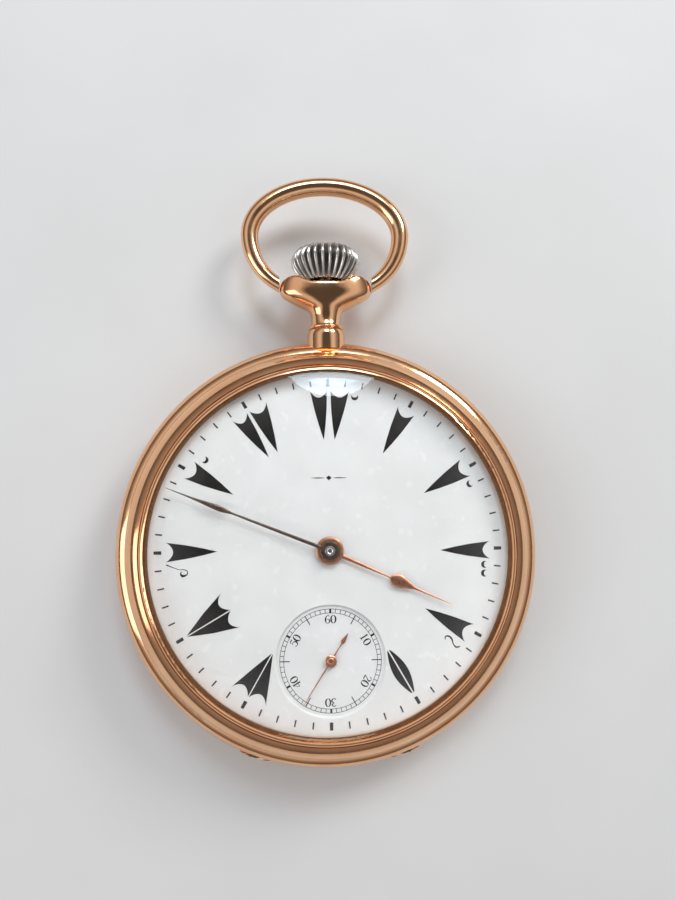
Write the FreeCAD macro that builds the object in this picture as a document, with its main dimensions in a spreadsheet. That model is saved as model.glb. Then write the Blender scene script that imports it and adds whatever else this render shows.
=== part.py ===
import FreeCAD
import Part
import math
import os
import re
import Sketcher
from FreeCAD import Placement, Rotation, Vector

# Open-face pocket watch. Units are millimetres. The dial faces +Z, 12 o'clock is +Y and
# 3 o'clock is +X; the origin is on the hands' axis, in the flat outside face of the back.

DRIVING = {
    # case
    "case_diameter": 53.0, "middle_bottom": 3.4, "middle_top": 7.2, "middle_bulge": 1.4,
    "middle_edge": 1.2, "cover_flat": 17.0, "cover_wall": 0.6, "cover_gap": 0.05,
    "rim_fit": 0.1, "cuvette_bottom": 1.3, "cuvette_wall": 0.45, "cuvette_flat": 20.2,
    "bezel_crest": 10.35, "lip_top": 10.95, "crystal_rise": 2.35, "crystal_wall": 0.9,
    "hinge_radius": 0.95, "hinge_half": 11.2, "cover_knuckle": 4.1, "hinge_pin_radius": 0.35,
    "hinge_reach": 0.7, "inner_hinge_radius": 0.5, "inner_hinge_half": 6.0,
    "inner_knuckle": 2.0, "inner_pin_radius": 0.2, "pin_fit": 0.05,
    # movement
    "plate_diameter": 43.0, "plate_back": 6.2, "plate_front": 8.2, "plate_flange": 1.2,
    "recess_floor": 7.0, "bridge_back": 2.4, "bridge_front": 3.6, "foot_width": 1.7,
    "jewel_radius": 0.8, "pivot_radius": 0.15, "pivot_fit": 0.05,
    # dial and hands
    "dial_diameter": 44.6, "dial_thickness": 0.9, "seconds_offset": 13.0,
    "seconds_dial_diameter": 12.8, "seconds_sink": 0.3, "hour_length": 16.2,
    "minute_length": 21.0, "seconds_length": 6.0, "shown_hour": 3, "shown_minute": 48.6,
    "shown_second": 35.5,
    # going train
    "barrel_teeth": 80, "barrel_module": 0.21, "centre_leaves": 12,
    "centre_teeth": 80, "centre_module": 0.19, "third_leaves": 10,
    "third_teeth": 75, "third_module": 0.17, "fourth_leaves": 10,
    "fourth_teeth": 70, "fourth_module": 0.145, "escape_leaves": 7,
    "escape_teeth": 15, "escape_radius": 2.9, "barrel_bearing": 146.0,
    "escape_to_fork": 3.2, "balance_x": -11.9, "balance_y": -8.8, "balance_radius": 5.9,
    # motion works
    "cannon_teeth": 12, "minute_teeth": 36, "motion_module": 0.16, "hour_teeth": 48,
    "minute_leaves": 12, "minute_bearing": 70.0, "setting_teeth": 24,
    # winding work
    "stem_height": 5.3, "stem_radius": 0.6, "crown_wheel_y": 11.5, "crown_wheel_teeth": 40,
    "ratchet_teeth": 66, "winding_leaves": 16, "winding_module": 0.2,
    # pendant, crown and bow
    "collar_radius": 2.4, "neck_radius": 2.0, "head_half": 6.0, "head_depth": 2.6,
    "pendant_rise": 8.65, "crown_diameter": 9.0, "crown_height": 4.75, "crown_flutes": 28,
    "bow_width": 19.9, "bow_height": 13.4, "bow_waist": 6.6, "bow_wire": 1.18,
    "bow_peg": 0.45,
}

DERIVED = {
    "case_radius": "case_diameter / 2",
    "plate_radius": "plate_diameter / 2",
    "dial_radius": "dial_diameter / 2",
    "dial_top": "plate_front + dial_thickness",
    "seconds_top": "dial_top - seconds_sink",
    "rim_radius": "case_radius - 2",
    "ledge_radius": "plate_radius + 0.1",
    "seat_radius": "plate_radius + 0.8",
    "crystal_radius": "dial_radius - 0.25",
    "bridge_radius": "plate_radius - 0.9",
    "hinge_y": "0 - (case_radius - 1.1)",
    "inner_hinge_y": "0 - (seat_radius - 0.7)",
    "inner_hinge_z": "middle_bottom - 0.9",
    "barrel_distance": "(barrel_teeth + centre_leaves) * barrel_module / 2",
    "barrel_x": "barrel_distance * cos(barrel_bearing)",
    "barrel_y": "barrel_distance * sin(barrel_bearing)",
    "third_distance": "(centre_teeth + third_leaves) * centre_module / 2",
    "fourth_distance": "(third_teeth + fourth_leaves) * third_module / 2",
    "third_y": "(fourth_distance^2 - third_distance^2 - seconds_offset^2)"
               " / (2 * seconds_offset)",
    "third_x": "sqrt(third_distance^2 - third_y^2)",
    "escape_distance": "(fourth_teeth + escape_leaves) * fourth_module / 2",
    "escape_x": "0 - escape_distance",
    "escape_y": "0 - seconds_offset",
    "minute_distance": "(cannon_teeth + minute_teeth) * motion_module / 2",
    "minute_x": "minute_distance * cos(minute_bearing)",
    "minute_y": "minute_distance * sin(minute_bearing)",
    "hour_module": "2 * minute_distance / (hour_teeth + minute_leaves)",
    "setting_reach": "(minute_teeth + setting_teeth) * motion_module / 2",
    "setting_y": "minute_y + sqrt(setting_reach^2 - minute_x^2)",
    "winding_distance": "sqrt(barrel_x^2 + (crown_wheel_y - barrel_y)^2)",
    "ratchet_module": "2 * winding_distance / (crown_wheel_teeth + ratchet_teeth)",
    "pivot_y": "case_radius + pendant_rise - 0.7",
    "head_y": "case_radius + pendant_rise",
    "crown_base": "head_y - 0.65",
}

doc = FreeCAD.newDocument("pocket_watch")
sizes = doc.addObject("Spreadsheet::Sheet", "sizes")
for row, (alias, value) in enumerate({**DRIVING, **DERIVED}.items(), start=1):
    sizes.set(f"A{row}", alias)
    sizes.set(f"B{row}", f"={value}" if isinstance(value, str) else str(value))
    sizes.setAlias(f"B{row}", alias)
doc.recompute()

TINY = 1e-9
KNOWN = {**DRIVING, **DERIVED}
WORD = re.compile(r"[a-z_]+")


def num(expression):
    """The present value of an expression in the sheet's names."""
    return float(sizes.evalExpression(str(expression)))


def bound(expression):
    """The same expression as another object has to spell it, with the sheet's name."""
    return WORD.sub(lambda found: f"sizes.{found[0]}" if found[0] in KNOWN else found[0],
                    str(expression))


def hold(thing, prop, expression):
    """Drive one property of an object from the sheet."""
    thing.setExpression(prop, bound(expression))


def put(thing, x=0, y=0, z=0, turn=None):
    """Place an object at expressions in the sheet's names, with an optional rotation."""
    thing.Placement = Placement(Vector(num(x), num(y), num(z)), turn or Rotation())
    for axis, value in (("x", x), ("y", y), ("z", z)):
        hold(thing, f".Placement.Base.{axis}", value)
    return thing


def origin_plane(body, role):
    """The body's own origin plane with this role."""
    return next(item for item in body.Origin.OriginFeatures if item.Role == role)


def arc_between(start, end, radius, left):
    """A circle arc from start to end that bulges to the left or right of the chord."""
    chord = end - start
    half = chord.Length / 2
    depth = math.sqrt(max(radius * radius - half * half, TINY))
    side = Vector(-chord.y, chord.x, 0).normalize() * (1 if left else -1)
    centre = start + chord * 0.5 - side * depth
    first, last = (end, start) if left else (start, end)
    angles = [math.atan2(p.y - centre.y, p.x - centre.x) for p in (first, last)]
    circle = Part.Circle(centre, Vector(0, 0, 1), radius)
    return Part.ArcOfCircle(circle, angles[0], angles[1])


def outline(body, plane, corners, bends):
    """A closed sketch through the corners; every corner is held by two dimensions."""
    sketch = body.newObject("Sketcher::SketchObject", f"{body.Name}_outline")
    sketch.AttachmentSupport = [(origin_plane(body, plane), "")]
    sketch.MapMode = "FlatFace"
    points = [Vector(num(a), num(b), 0) for a, b in corners]
    count = len(points)
    for index, start in enumerate(points):
        end = points[(index + 1) % count]
        if index in bends:
            radius, left = bends[index]
            sketch.addGeometry(arc_between(start, end, num(radius), left))
        else:
            sketch.addGeometry(Part.LineSegment(start, end))
    ends = [edge_ends(sketch, index, points) for index in range(count)]
    for index in range(count):
        after = (index + 1) % count
        sketch.addConstraint(
            Sketcher.Constraint("Coincident", index, ends[index][1], after, ends[after][0]))
    for index, (a, b) in enumerate(corners):
        pin_corner(sketch, index, ends[index][0], "DistanceX", a, -2)
        pin_corner(sketch, index, ends[index][0], "DistanceY", b, -1)
    for index, (radius, _left) in bends.items():
        rule = sketch.addConstraint(Sketcher.Constraint("Radius", index, num(radius)))
        hold(sketch, f"Constraints[{rule}]", radius)
    return sketch


def edge_ends(sketch, index, points):
    """Which end of a sketch edge is its first corner and which is its second."""
    edge = sketch.Geometry[index]
    start = points[index]
    forward = (edge.StartPoint - start).Length < (edge.EndPoint - start).Length
    return (1, 2) if forward else (2, 1)


def pin_corner(sketch, edge, end, rule, expression, axis):
    """Hold one coordinate of a corner, or put it on the axis where it is nought."""
    value = num(expression)
    if abs(value) < TINY:
        sketch.addConstraint(Sketcher.Constraint("PointOnObject", edge, end, axis))
        return
    place = sketch.addConstraint(Sketcher.Constraint(rule, edge, end, value))
    hold(sketch, f"Constraints[{place}]", expression)


def turned(label, corners, bends=None, at=(0, 0, 0), turn=None):
    """A lathe-turned piece: (radius, height) corners spun round the piece's own Z."""
    body = doc.addObject("PartDesign::Body", label)
    sketch = outline(body, "XZ_Plane", corners, bends or {})
    spin = body.newObject("PartDesign::Revolution", f"{label}_spin")
    spin.Profile = sketch
    spin.ReferenceAxis = (sketch, ["V_Axis"])
    spin.Angle = 360
    return put(body, *at, turn=turn)


def plate(label, corners, z, thickness, bends=None, at=(0, 0), turn=None):
    """A flat piece: a closed outline padded upwards from height z."""
    body = doc.addObject("PartDesign::Body", label)
    sketch = outline(body, "XY_Plane", corners, bends or {})
    pad = body.newObject("PartDesign::Pad", f"{label}_pad")
    pad.Profile = sketch
    hold(pad, "Length", thickness)
    return put(body, at[0], at[1], z, turn=turn)


def rod(label, radius, z, top, at=(0, 0)):
    """A plain upright cylinder between two heights."""
    piece = doc.addObject("Part::Cylinder", label)
    hold(piece, "Radius", radius)
    hold(piece, "Height", f"({top}) - ({z})")
    return put(piece, at[0], at[1], z)


def bar(label, radius, start, end, y, z):
    """A cylinder lying along X between two positions."""
    piece = doc.addObject("Part::Cylinder", label)
    hold(piece, "Radius", radius)
    hold(piece, "Height", f"({end}) - ({start})")
    return put(piece, start, y, z, turn=Rotation(Vector(0, 1, 0), 90))


def shaft(label, radius, start, end):
    """A cylinder lying along Y on the winding stem's axis."""
    piece = doc.addObject("Part::Cylinder", label)
    hold(piece, "Radius", radius)
    hold(piece, "Height", f"({end}) - ({start})")
    return put(piece, 0, start, "stem_height", turn=Rotation(Vector(1, 0, 0), -90))


def block(label, low, high):
    """A box between two opposite corners."""
    piece = doc.addObject("Part::Box", label)
    for side, a, b in zip(("Length", "Width", "Height"), low, high):
        hold(piece, side, f"({b}) - ({a})")
    return put(piece, *low)


def fused(label, pieces):
    """Several pieces joined into one."""
    whole = doc.addObject("Part::MultiFuse", label)
    whole.Shapes = pieces
    whole.Refine = True
    return whole


def cut(label, base, tools):
    """A piece with one or more tools taken out of it."""
    for index, tool in enumerate(tools):
        last = index == len(tools) - 1
        step = doc.addObject("Part::Cut", label if last else f"{label}_less_{index}")
        step.Base = base
        step.Tool = tool
        base = step
    return base


def common(label, one, other):
    """What two pieces share."""
    both = doc.addObject("Part::Common", label)
    both.Base = one
    both.Tool = other
    return both


def grouped(label, pieces):
    """Separate solids kept together as one named part."""
    group = doc.addObject("Part::Compound", label)
    group.Links = pieces
    return group


def shaped(label, shape, at=(0, 0, 0), turn=None):
    """A piece whose outline comes from a formula; its sizes were read from the sheet."""
    piece = doc.addObject("Part::Feature", label)
    piece.Shape = shape
    return put(piece, *at, turn=turn)


def tooth_points(teeth, module, width, above, below, phase):
    """The corners of a spur gear's outline, four to a tooth, in order round the wheel."""
    pitch = 360.0 / teeth
    radius = teeth * module / 2
    spans = ((-0.5, -below), (-0.2, above), (0.2, above), (0.5, -below))
    points = []
    for tooth in range(teeth):
        for share, height in spans:
            angle = math.radians(phase + (tooth + share * width) * pitch)
            reach = radius + height * module
            points.append(Vector(reach * math.cos(angle), reach * math.sin(angle), 0))
    return points


def prism(points, z, thickness):
    """An upright solid on a closed outline."""
    raised = [point + Vector(0, 0, z) for point in points]
    face = Part.Face(Part.makePolygon(raised + raised[:1]))
    return face.extrude(Vector(0, 0, thickness))


def toothed(teeth, module, z, top, phase=0.0, bore=0.0, width=0.62, above=0.8):
    """A plain spur gear with slim teeth, so that its mate never binds."""
    solid = prism(tooth_points(teeth, module, width, above, 1.25, phase), z, top - z)
    if bore:
        solid = solid.cut(Part.makeCylinder(bore, top - z + 2, Vector(0, 0, z - 1)))
    return solid


def window(inner, outer, start, stop, z, top):
    """A ring sector, to lighten a wheel between two of its arms."""
    steps = 8
    turns = [math.radians(start + (stop - start) * k / steps) for k in range(steps + 1)]
    far = [Vector(outer * math.cos(a), outer * math.sin(a), 0) for a in turns]
    near = [Vector(inner * math.cos(a), inner * math.sin(a), 0) for a in reversed(turns)]
    return prism(far + near, z - 1, top - z + 2)


def crossed(solid, hub, rim, z, top, arms=5, arm_width=0.8):
    """The wheel with its web cut away between the arms."""
    lean = math.degrees(arm_width / (hub + rim))
    for arm in range(arms):
        start = 360 * arm / arms + lean
        solid = solid.cut(window(hub, rim, start, start + 360 / arms - 2 * lean, z, top))
    return solid


def bearing(a, b):
    """The direction from spot a to spot b, in degrees."""
    return math.degrees(math.atan2(num(b[1]) - num(a[1]), num(b[0]) - num(a[0])))


def mating_phase(teeth, mate_teeth, direction, mate_phase=0.0):
    """The phase that puts a gap of this wheel on a tooth of its mate.

    The direction runs from the mate to this wheel."""
    pitch = 360.0 / mate_teeth
    lead = (direction - mate_phase) % pitch
    return direction + 180 + 180.0 / teeth + lead * mate_teeth / teeth


def spiral(inner, outer, turns, thickness, z, top, tail=0.0):
    """A flat coiled strip; an optional tail goes on round at the outer radius."""
    steps = int(turns * 24)
    line = []
    for k in range(steps + 1):
        angle = 2 * math.pi * turns * k / steps
        line.append((inner + (outer - inner) * k / steps, angle))
    for k in range(1, int(tail / 10) + 1):
        line.append((outer, line[steps][1] + math.radians(10 * k)))
    half = thickness / 2
    away = [Vector((r + half) * math.cos(a), (r + half) * math.sin(a), 0) for r, a in line]
    near = [Vector((r - half) * math.cos(a), (r - half) * math.sin(a), 0) for r, a in line]
    return prism(away + near[::-1], z, top - z)


CENTRE = (0, 0)
BARREL = ("barrel_x", "barrel_y")
THIRD = ("third_x", "third_y")
FOURTH = (0, "escape_y")
ESCAPE = ("escape_x", "escape_y")
BALANCE = ("balance_x", "balance_y")
MINUTE = ("minute_x", "minute_y")
SETTING = (0, "setting_y")
CROWN_WHEEL = (0, "crown_wheel_y")
ALONG_STEM = Rotation(Vector(1, 0, 0), -90)
fork_line = bearing(ESCAPE, BALANCE)
fork_share = f"escape_to_fork * cos({fork_line})", f"escape_to_fork * sin({fork_line})"
FORK = (f"escape_x + {fork_share[0]}", f"escape_y + {fork_share[1]}")


def sagitta(chord, rise):
    """The radius of the arc that rises this much over this chord."""
    return f"(({chord})^2 / 4 + ({rise})^2) / (2 * ({rise}))"


# ---- case ------------------------------------------------------------------------------

def make_hinge_lug(label, start, end):
    """One knuckle of the back hinge, its ends trimmed to follow the case's round."""
    barrel = bar(f"{label}_bar", "hinge_radius", start, end, "hinge_y", "middle_bottom")
    reach = rod(f"{label}_reach", "case_radius + hinge_reach", 0, "middle_top")
    return common(label, barrel, reach)


def make_case_middle():
    """The band of the case, with its ledges, hinge knuckles and stem hole."""
    height = "middle_top - middle_bottom"
    ring = turned("case_ring", [
        ("seat_radius + 0.3", "bridge_back"), ("seat_radius + 0.9", "bridge_back"),
        ("rim_radius", "middle_bottom - 0.3"), ("rim_radius", "middle_bottom"),
        ("case_radius - middle_edge", "middle_bottom"),
        ("case_radius - middle_edge - 0.4", "middle_top"), ("rim_radius - 0.1", "middle_top"),
        ("rim_radius - 0.1", "plate_front"), ("seat_radius + 0.05", "plate_front"),
        ("seat_radius + 0.05", "recess_floor"), ("ledge_radius", "recess_floor"),
        ("ledge_radius", "plate_back"), ("seat_radius", "plate_back"),
        ("seat_radius", "middle_bottom - 0.4"),
        ("seat_radius + 0.3", "middle_bottom - 0.4")],
        {4: (sagitta(height, "middle_bulge"), False)})
    lugs = [make_hinge_lug("case_lug_right", "cover_knuckle + 0.1", "hinge_half"),
            make_hinge_lug("case_lug_left", "0 - hinge_half", "0 - cover_knuckle - 0.1")]
    for side, start, end in (("right", "inner_knuckle + 0.1", "inner_hinge_half"),
                             ("left", "0 - inner_hinge_half", "0 - inner_knuckle - 0.1")):
        lugs.append(bar(f"inner_lug_{side}", "inner_hinge_radius", start, end,
                        "inner_hinge_y", "inner_hinge_z"))
        lugs.append(block(f"inner_lug_{side}_root",
                          (start, "inner_hinge_y - 1.2", "inner_hinge_z - 0.1"),
                          (end, "inner_hinge_y", "inner_hinge_z + 0.5")))
    whole = fused("case_with_lugs", [ring, *lugs])
    cut("case_middle", whole, [
        bar("cover_lug_room", "hinge_radius + 0.1", "0 - cover_knuckle - 0.1",
            "cover_knuckle + 0.1", "hinge_y", "middle_bottom"),
        bar("case_pin_hole", "hinge_pin_radius", "0 - hinge_half", "hinge_half", "hinge_y",
            "middle_bottom"),
        bar("case_inner_pin_hole", "inner_pin_radius", "0 - inner_hinge_half",
            "inner_hinge_half", "inner_hinge_y", "inner_hinge_z"),
        shaft("case_stem_hole", "stem_radius + 0.15", "plate_radius - 1", "case_radius + 1")])


def make_back_cover():
    """The outer back lid: a flat middle, a rounded shoulder and a snap rim."""
    rise = "middle_bottom - 0.5"
    span = "case_radius - middle_edge - 0.1 - cover_flat"
    inner_rise = "middle_bottom - 0.4 - cover_wall"
    inner_span = "rim_radius + rim_fit - cover_flat"
    lid = turned("cover_lid", [
        (0, 0), ("cover_flat", 0), ("case_radius - middle_edge - 0.1", rise),
        ("case_radius - middle_edge - 0.1", "middle_bottom - cover_gap"),
        ("rim_radius + rim_fit", "middle_bottom - cover_gap"),
        ("rim_radius + rim_fit", "middle_bottom - 0.4"), ("cover_flat", "cover_wall"),
        (0, "cover_wall")],
        {1: (f"(({span})^2 + ({rise})^2) / (2 * ({rise}))", False),
         5: (f"(({inner_span})^2 + ({inner_rise})^2) / (2 * ({inner_rise}))", True)})
    knuckle = make_hinge_lug("cover_lug", "0 - cover_knuckle", "cover_knuckle")
    whole = fused("cover_with_lug", [lid, knuckle])
    room = [bar(f"case_lug_room_{side}", "hinge_radius + 0.1", start, end, "hinge_y",
                "middle_bottom")
            for side, start, end in (("right", "cover_knuckle", "hinge_half + 0.5"),
                                     ("left", "0 - hinge_half - 0.5", "0 - cover_knuckle"))]
    pin = bar("cover_pin_hole", "hinge_pin_radius + pin_fit", "0 - hinge_half", "hinge_half",
              "hinge_y", "middle_bottom")
    cut("back_cover", whole, [*room, pin])


def make_cuvette():
    """The inner dust cover over the movement, on its own small hinge."""
    flange = "middle_bottom - 0.4 - cover_gap"
    pan = turned("cuvette_pan", [
        (0, "cuvette_bottom"), ("cuvette_flat", "cuvette_bottom"),
        ("seat_radius + 0.2", "bridge_back"), ("seat_radius + 0.2", flange),
        ("seat_radius - 0.6", flange), ("seat_radius - 0.6", f"{flange} - 0.25"),
        ("cuvette_flat - 0.15", "cuvette_bottom + cuvette_wall"),
        (0, "cuvette_bottom + cuvette_wall")])
    room = block("cuvette_hinge_room",
                 ("0 - inner_hinge_half - 0.1", "inner_hinge_y - 2", "cuvette_bottom - 0.5"),
                 ("inner_hinge_half + 0.1", "inner_hinge_y + 0.6", "middle_bottom"))
    trimmed = cut("cuvette_trimmed", pan, [room])
    knuckle = bar("cuvette_lug", "inner_hinge_radius", "0 - inner_knuckle", "inner_knuckle",
                  "inner_hinge_y", "inner_hinge_z")
    web = block("cuvette_web", ("0 - inner_knuckle", "inner_hinge_y", "inner_hinge_z - 0.45"),
                ("inner_knuckle", "inner_hinge_y + 1.2", "inner_hinge_z - 0.1"))
    pin = bar("cuvette_pin_hole", "inner_pin_radius + pin_fit", "0 - inner_hinge_half",
              "inner_hinge_half", "inner_hinge_y", "inner_hinge_z")
    cut("cuvette", fused("cuvette_with_lug", [trimmed, knuckle, web]), [pin])


def make_hinge_pins():
    """The two plain hinge pins."""
    grouped("hinge_pins", [
        bar("outer_pin", "hinge_pin_radius", "1 - hinge_half", "hinge_half - 1", "hinge_y",
            "middle_bottom"),
        bar("inner_pin", "inner_pin_radius", "0 - inner_hinge_half", "inner_hinge_half",
            "inner_hinge_y", "inner_hinge_z")])


def make_bezel():
    """The snap-on ring that holds the crystal; its shoulder rolls over to a fine crease."""
    foot = "middle_top + cover_gap"
    flange = "dial_top + 0.3"
    crest = "dial_radius + 0.45"
    chord = f"sqrt((case_radius - 1.6 - {crest})^2 + (bezel_crest - {foot})^2)"
    turned("bezel", [
        ("rim_radius", foot), ("case_radius - 1.6", foot), (crest, "bezel_crest"),
        (f"{crest} - 0.12", "bezel_crest - 0.15"), ("crystal_radius - 0.1", "lip_top"),
        ("crystal_radius - 0.1", "lip_top - 0.35"),
        ("crystal_radius + 0.05", "lip_top - 0.35"),
        ("crystal_radius + 0.05", "lip_top - 0.95"), ("crystal_radius - 0.55", "lip_top - 0.95"),
        ("crystal_radius - 0.55", flange), ("dial_radius + 0.2", flange),
        ("dial_radius + 0.2", "plate_front + 0.1"), ("rim_radius", "plate_front + 0.1")],
        {1: (sagitta(chord, "0.8"), False), 3: ("0.8", False)})


def make_crystal():
    """The domed glass, with a thin edge that sits in the bezel's groove."""
    seat = "lip_top - 0.95"
    step = "lip_top - 0.4"
    edge = "crystal_radius - 0.25"
    inside = "crystal_radius - 0.75"
    top = f"{step} + crystal_rise"
    outer_radius = f"(({edge})^2 + crystal_rise^2) / (2 * crystal_rise)"
    inner_rise = "crystal_rise - crystal_wall + 0.1"
    inner_radius = f"(({inside})^2 + ({inner_rise})^2) / (2 * ({inner_rise}))"
    turned("crystal", [
        (inside, seat), ("crystal_radius", seat), ("crystal_radius", step), (edge, step),
        (0, top), (0, f"{step} - 0.1 + {inner_rise}"), (inside, f"{step} - 0.1")],
        {3: (outer_radius, False), 5: (inner_radius, True)})


def make_pendant():
    """The neck and boat-shaped head at 12 o'clock that carry the crown and the bow."""
    bowl = turned("pendant_bowl", [
        ("stem_radius + 0.15", "case_radius - 1.8"), ("collar_radius", "case_radius - 1.8"),
        ("collar_radius - 0.05", "case_radius + 0.2"),
        ("collar_radius - 0.25", "case_radius + 1.7"),
        ("neck_radius + 0.3", "case_radius + 1.85"), ("neck_radius + 0.2", "case_radius + 2.1"),
        ("neck_radius", "case_radius + 2.3"), ("neck_radius + 0.25", "head_y - 2.55"),
        ("head_half - 0.5", "head_y - 1.5"), ("head_half", "head_y - 0.4"),
        ("head_half - 0.15", "head_y"), ("head_half - 0.5", "head_y"), (3.2, "head_y - 0.85"),
        (1.3, "head_y - 0.95"), (1.3, "head_y - 2.1"), ("stem_radius + 0.15", "head_y - 2.1")],
        {2: (4.0, False), 6: ("7.5", True), 7: ("5.5", False), 8: (1.1, False),
         11: (4.5, True)},
        at=(0, 0, "stem_height"), turn=ALONG_STEM)
    slices = [block(f"pendant_slice_{side}", ("0 - head_half - 1", "case_radius - 3", low),
                    ("head_half + 1", "head_y + 3", high))
              for side, low, high in (
                  ("front", "stem_height + head_depth", "stem_height + 9"),
                  ("back", "stem_height - 9", "stem_height - head_depth"))]
    pegs = bar("pendant_peg_hole", "bow_peg + pin_fit", "0 - head_half - 1", "head_half + 1",
               "pivot_y", "stem_height")
    keep = rod("case_outline", "case_radius - 1", 0, "plate_front + 3")
    core = bar("pendant_peg_core", "bow_peg + 0.2", "2 - head_half", "head_half - 2",
               "pivot_y", "stem_height")
    holes = cut("pendant_peg_holes", pegs, [core])
    cut("pendant", bowl, [*slices, holes, keep, doc.getObject("case_middle")])


def bow_line():
    """The bow's centre line: an arc over the top, then two a side, all tangent."""
    half, rise, waist = num("bow_width / 2"), num("bow_height"), num("bow_waist")
    narrow = half - num("head_half + 0.15")
    turn = math.sqrt(0.5)
    spread = 2 * turn - 1
    top = (turn * half - (1 - turn) * (rise - waist)) / spread
    side = (turn * (rise - waist) - (1 - turn) * half) / spread
    lower = (narrow ** 2 + waist ** 2) / (2 * narrow)

    def on(radius, angle):
        return (half - radius + radius * math.cos(angle), waist + radius * math.sin(angle))

    shoulder, last = (top * turn, rise - top * (1 - turn)), -math.asin(waist / lower) - 0.25
    points = [on(lower, last), on(lower, last / 2), (half, waist), on(side, math.pi / 8),
              shoulder, (0, rise)]
    right = [Vector(x, num("pivot_y") + y, 0) for x, y in points]
    loop = right + [Vector(-p.x, p.y, 0) for p in right[-2::-1]]
    return [Part.Arc(*loop[k:k + 3]).toShape() for k in range(0, len(loop) - 1, 2)]


def make_bow():
    """The round-wire bow, a circle swept round its loop, with two pivot pegs."""
    line = bow_line()
    start = line[0].Vertexes[0].Point
    ring = Part.Wire(Part.makeCircle(num("bow_wire"), start, line[0].tangentAt(
        line[0].FirstParameter)))
    swept = Part.Wire(line).makePipeShell([ring], True, False)
    loop = shaped("bow_swept", swept, (0, 0, "stem_height"))
    gap = block("bow_gap", ("0 - head_half - 0.12", "pivot_y - 3", "stem_height - 3"),
                ("head_half + 0.12", "pivot_y + 2.5", "stem_height + 3"))
    wire = cut("bow_wire_loop", loop, [gap])
    pegs = [bar(f"bow_peg_{side}", "bow_peg", start, end, "pivot_y", "stem_height")
            for side, start, end in (("right", "head_half - 1.1", "head_half + 0.6"),
                                     ("left", "0 - head_half - 0.6", "1.1 - head_half"))]
    fused("bow", [wire, *pegs])


def screw(label, at, top, head_radius, head, shank_radius, end):
    """A slotted screw, head towards the back; heights run from head to tip."""
    blank = turned(f"{label}_blank", [
        (0, top), (head_radius, top), (head_radius, f"({top}) + {head}"),
        (shank_radius, f"({top}) + {head}"), (shank_radius, end), (0, end)],
        at=(at[0], at[1], 0))
    slot = block(f"{label}_slot", (f"({at[0]}) - {head_radius}", f"({at[1]}) - 0.09",
                                   f"({top}) - 0.1"),
                 (f"({at[0]}) + {head_radius}", f"({at[1]}) + 0.09", f"({top}) + 0.18"))
    return cut(label, blank, [slot])


def around(radius, angle):
    """A spot at a radius and an angle from 3 o'clock."""
    return (f"({radius}) * cos({angle})", f"({radius}) * sin({angle})")


def make_case_screws():
    """Two screws whose heads clamp the movement to the ledge of the case."""
    grouped("case_screws", [
        screw(f"case_screw_{angle}", around("plate_radius - 0.5", angle), "plate_back - 0.5",
              1.1, 0.5, 0.35, "plate_back + 1.2") for angle in (60, 235)])


# ---- plates and bridges ----------------------------------------------------------------

TRAIN_EDGE = [(-2.6, 1.6), (-3.6, -5.0), (-4.6, -10.5), (-6.5, -12.3), (-6.9, -14.2),
              (-6.2, -24), (24, -24), (24, 4.3), (3.4, 4.3), (0.4, 3.1)]
BARREL_EDGE = [(-24, 1.4), (-12.0, 1.4), (-9.0, -1.5), (-3.6, -1.5), (-3.2, 3.4), (3.2, 5.1),
               (24, 5.1), (24, 24), (-24, 24)]
COCK_FOOT = ("balance_x - 5.8", "balance_y + 6.8")
CLICK = ("barrel_x - 1.42", "barrel_y + 8.08")
SPOTS = {"third": THIRD, "fourth": FOURTH, "escape": ESCAPE, "balance": BALANCE,
         "fork": FORK}


def make_bridge(label, edge):
    """A bridge: a flat deck inside its outline, with a foot along the plate's edge."""
    deck = common(f"{label}_deck", plate(f"{label}_edge", edge, "bridge_back",
                                         "bridge_front - bridge_back"),
                  rod(f"{label}_round", "bridge_radius", "bridge_back", "bridge_front"))
    tall = common(f"{label}_tall", plate(f"{label}_foot_edge", edge, "bridge_back",
                                         "plate_back - bridge_back"),
                  rod(f"{label}_foot_round", "bridge_radius", "bridge_back", "plate_back"))
    foot = cut(f"{label}_foot", tall, [
        rod(f"{label}_foot_inside", "bridge_radius - foot_width", "bridge_back - 1",
            "plate_back + 1")])
    return fused(f"{label}_whole", [deck, foot])


def make_screws():
    """The screws of the bridges, the cock, the pallet bridge and the click."""
    rim = "bridge_radius - foot_width / 2"
    screws = {"barrel": [screw(f"barrel_screw_{a}", around(rim, a), "bridge_back", 0.65, 0.5,
                               0.35, "plate_back + 1") for a in (28, 112, 158)],
              "train": [screw(f"train_screw_{a}", around(rim, a), "bridge_back", 0.65, 0.5,
                              0.35, "plate_back + 1") for a in (-6, 300, 262)],
              "cock": [screw("cock_screw", COCK_FOOT, "bridge_back", 1.1, 0.5, 0.5,
                             "plate_back + 1")],
              "pallet": [screw(f"pallet_screw_{n}", pallet_foot(side), "plate_back - 1.68",
                               0.45, 0.18, 0.25, "plate_back + 0.8")
                         for n, side in enumerate((1, -1))],
              "click": [screw("click_screw", CLICK, "bridge_back - 0.5", 0.7, 0.1, 0.4,
                              "bridge_back + 1")]}
    grouped("movement_screws", [one for several in screws.values() for one in several])
    return screws


def pallet_foot(side):
    """The spot of one foot of the pallet bridge, square to the fork's line."""
    angle = fork_line - 90 * side
    return (f"{FORK[0]} + 3.2 * cos({angle})", f"{FORK[1]} + 3.2 * sin({angle})")


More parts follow.
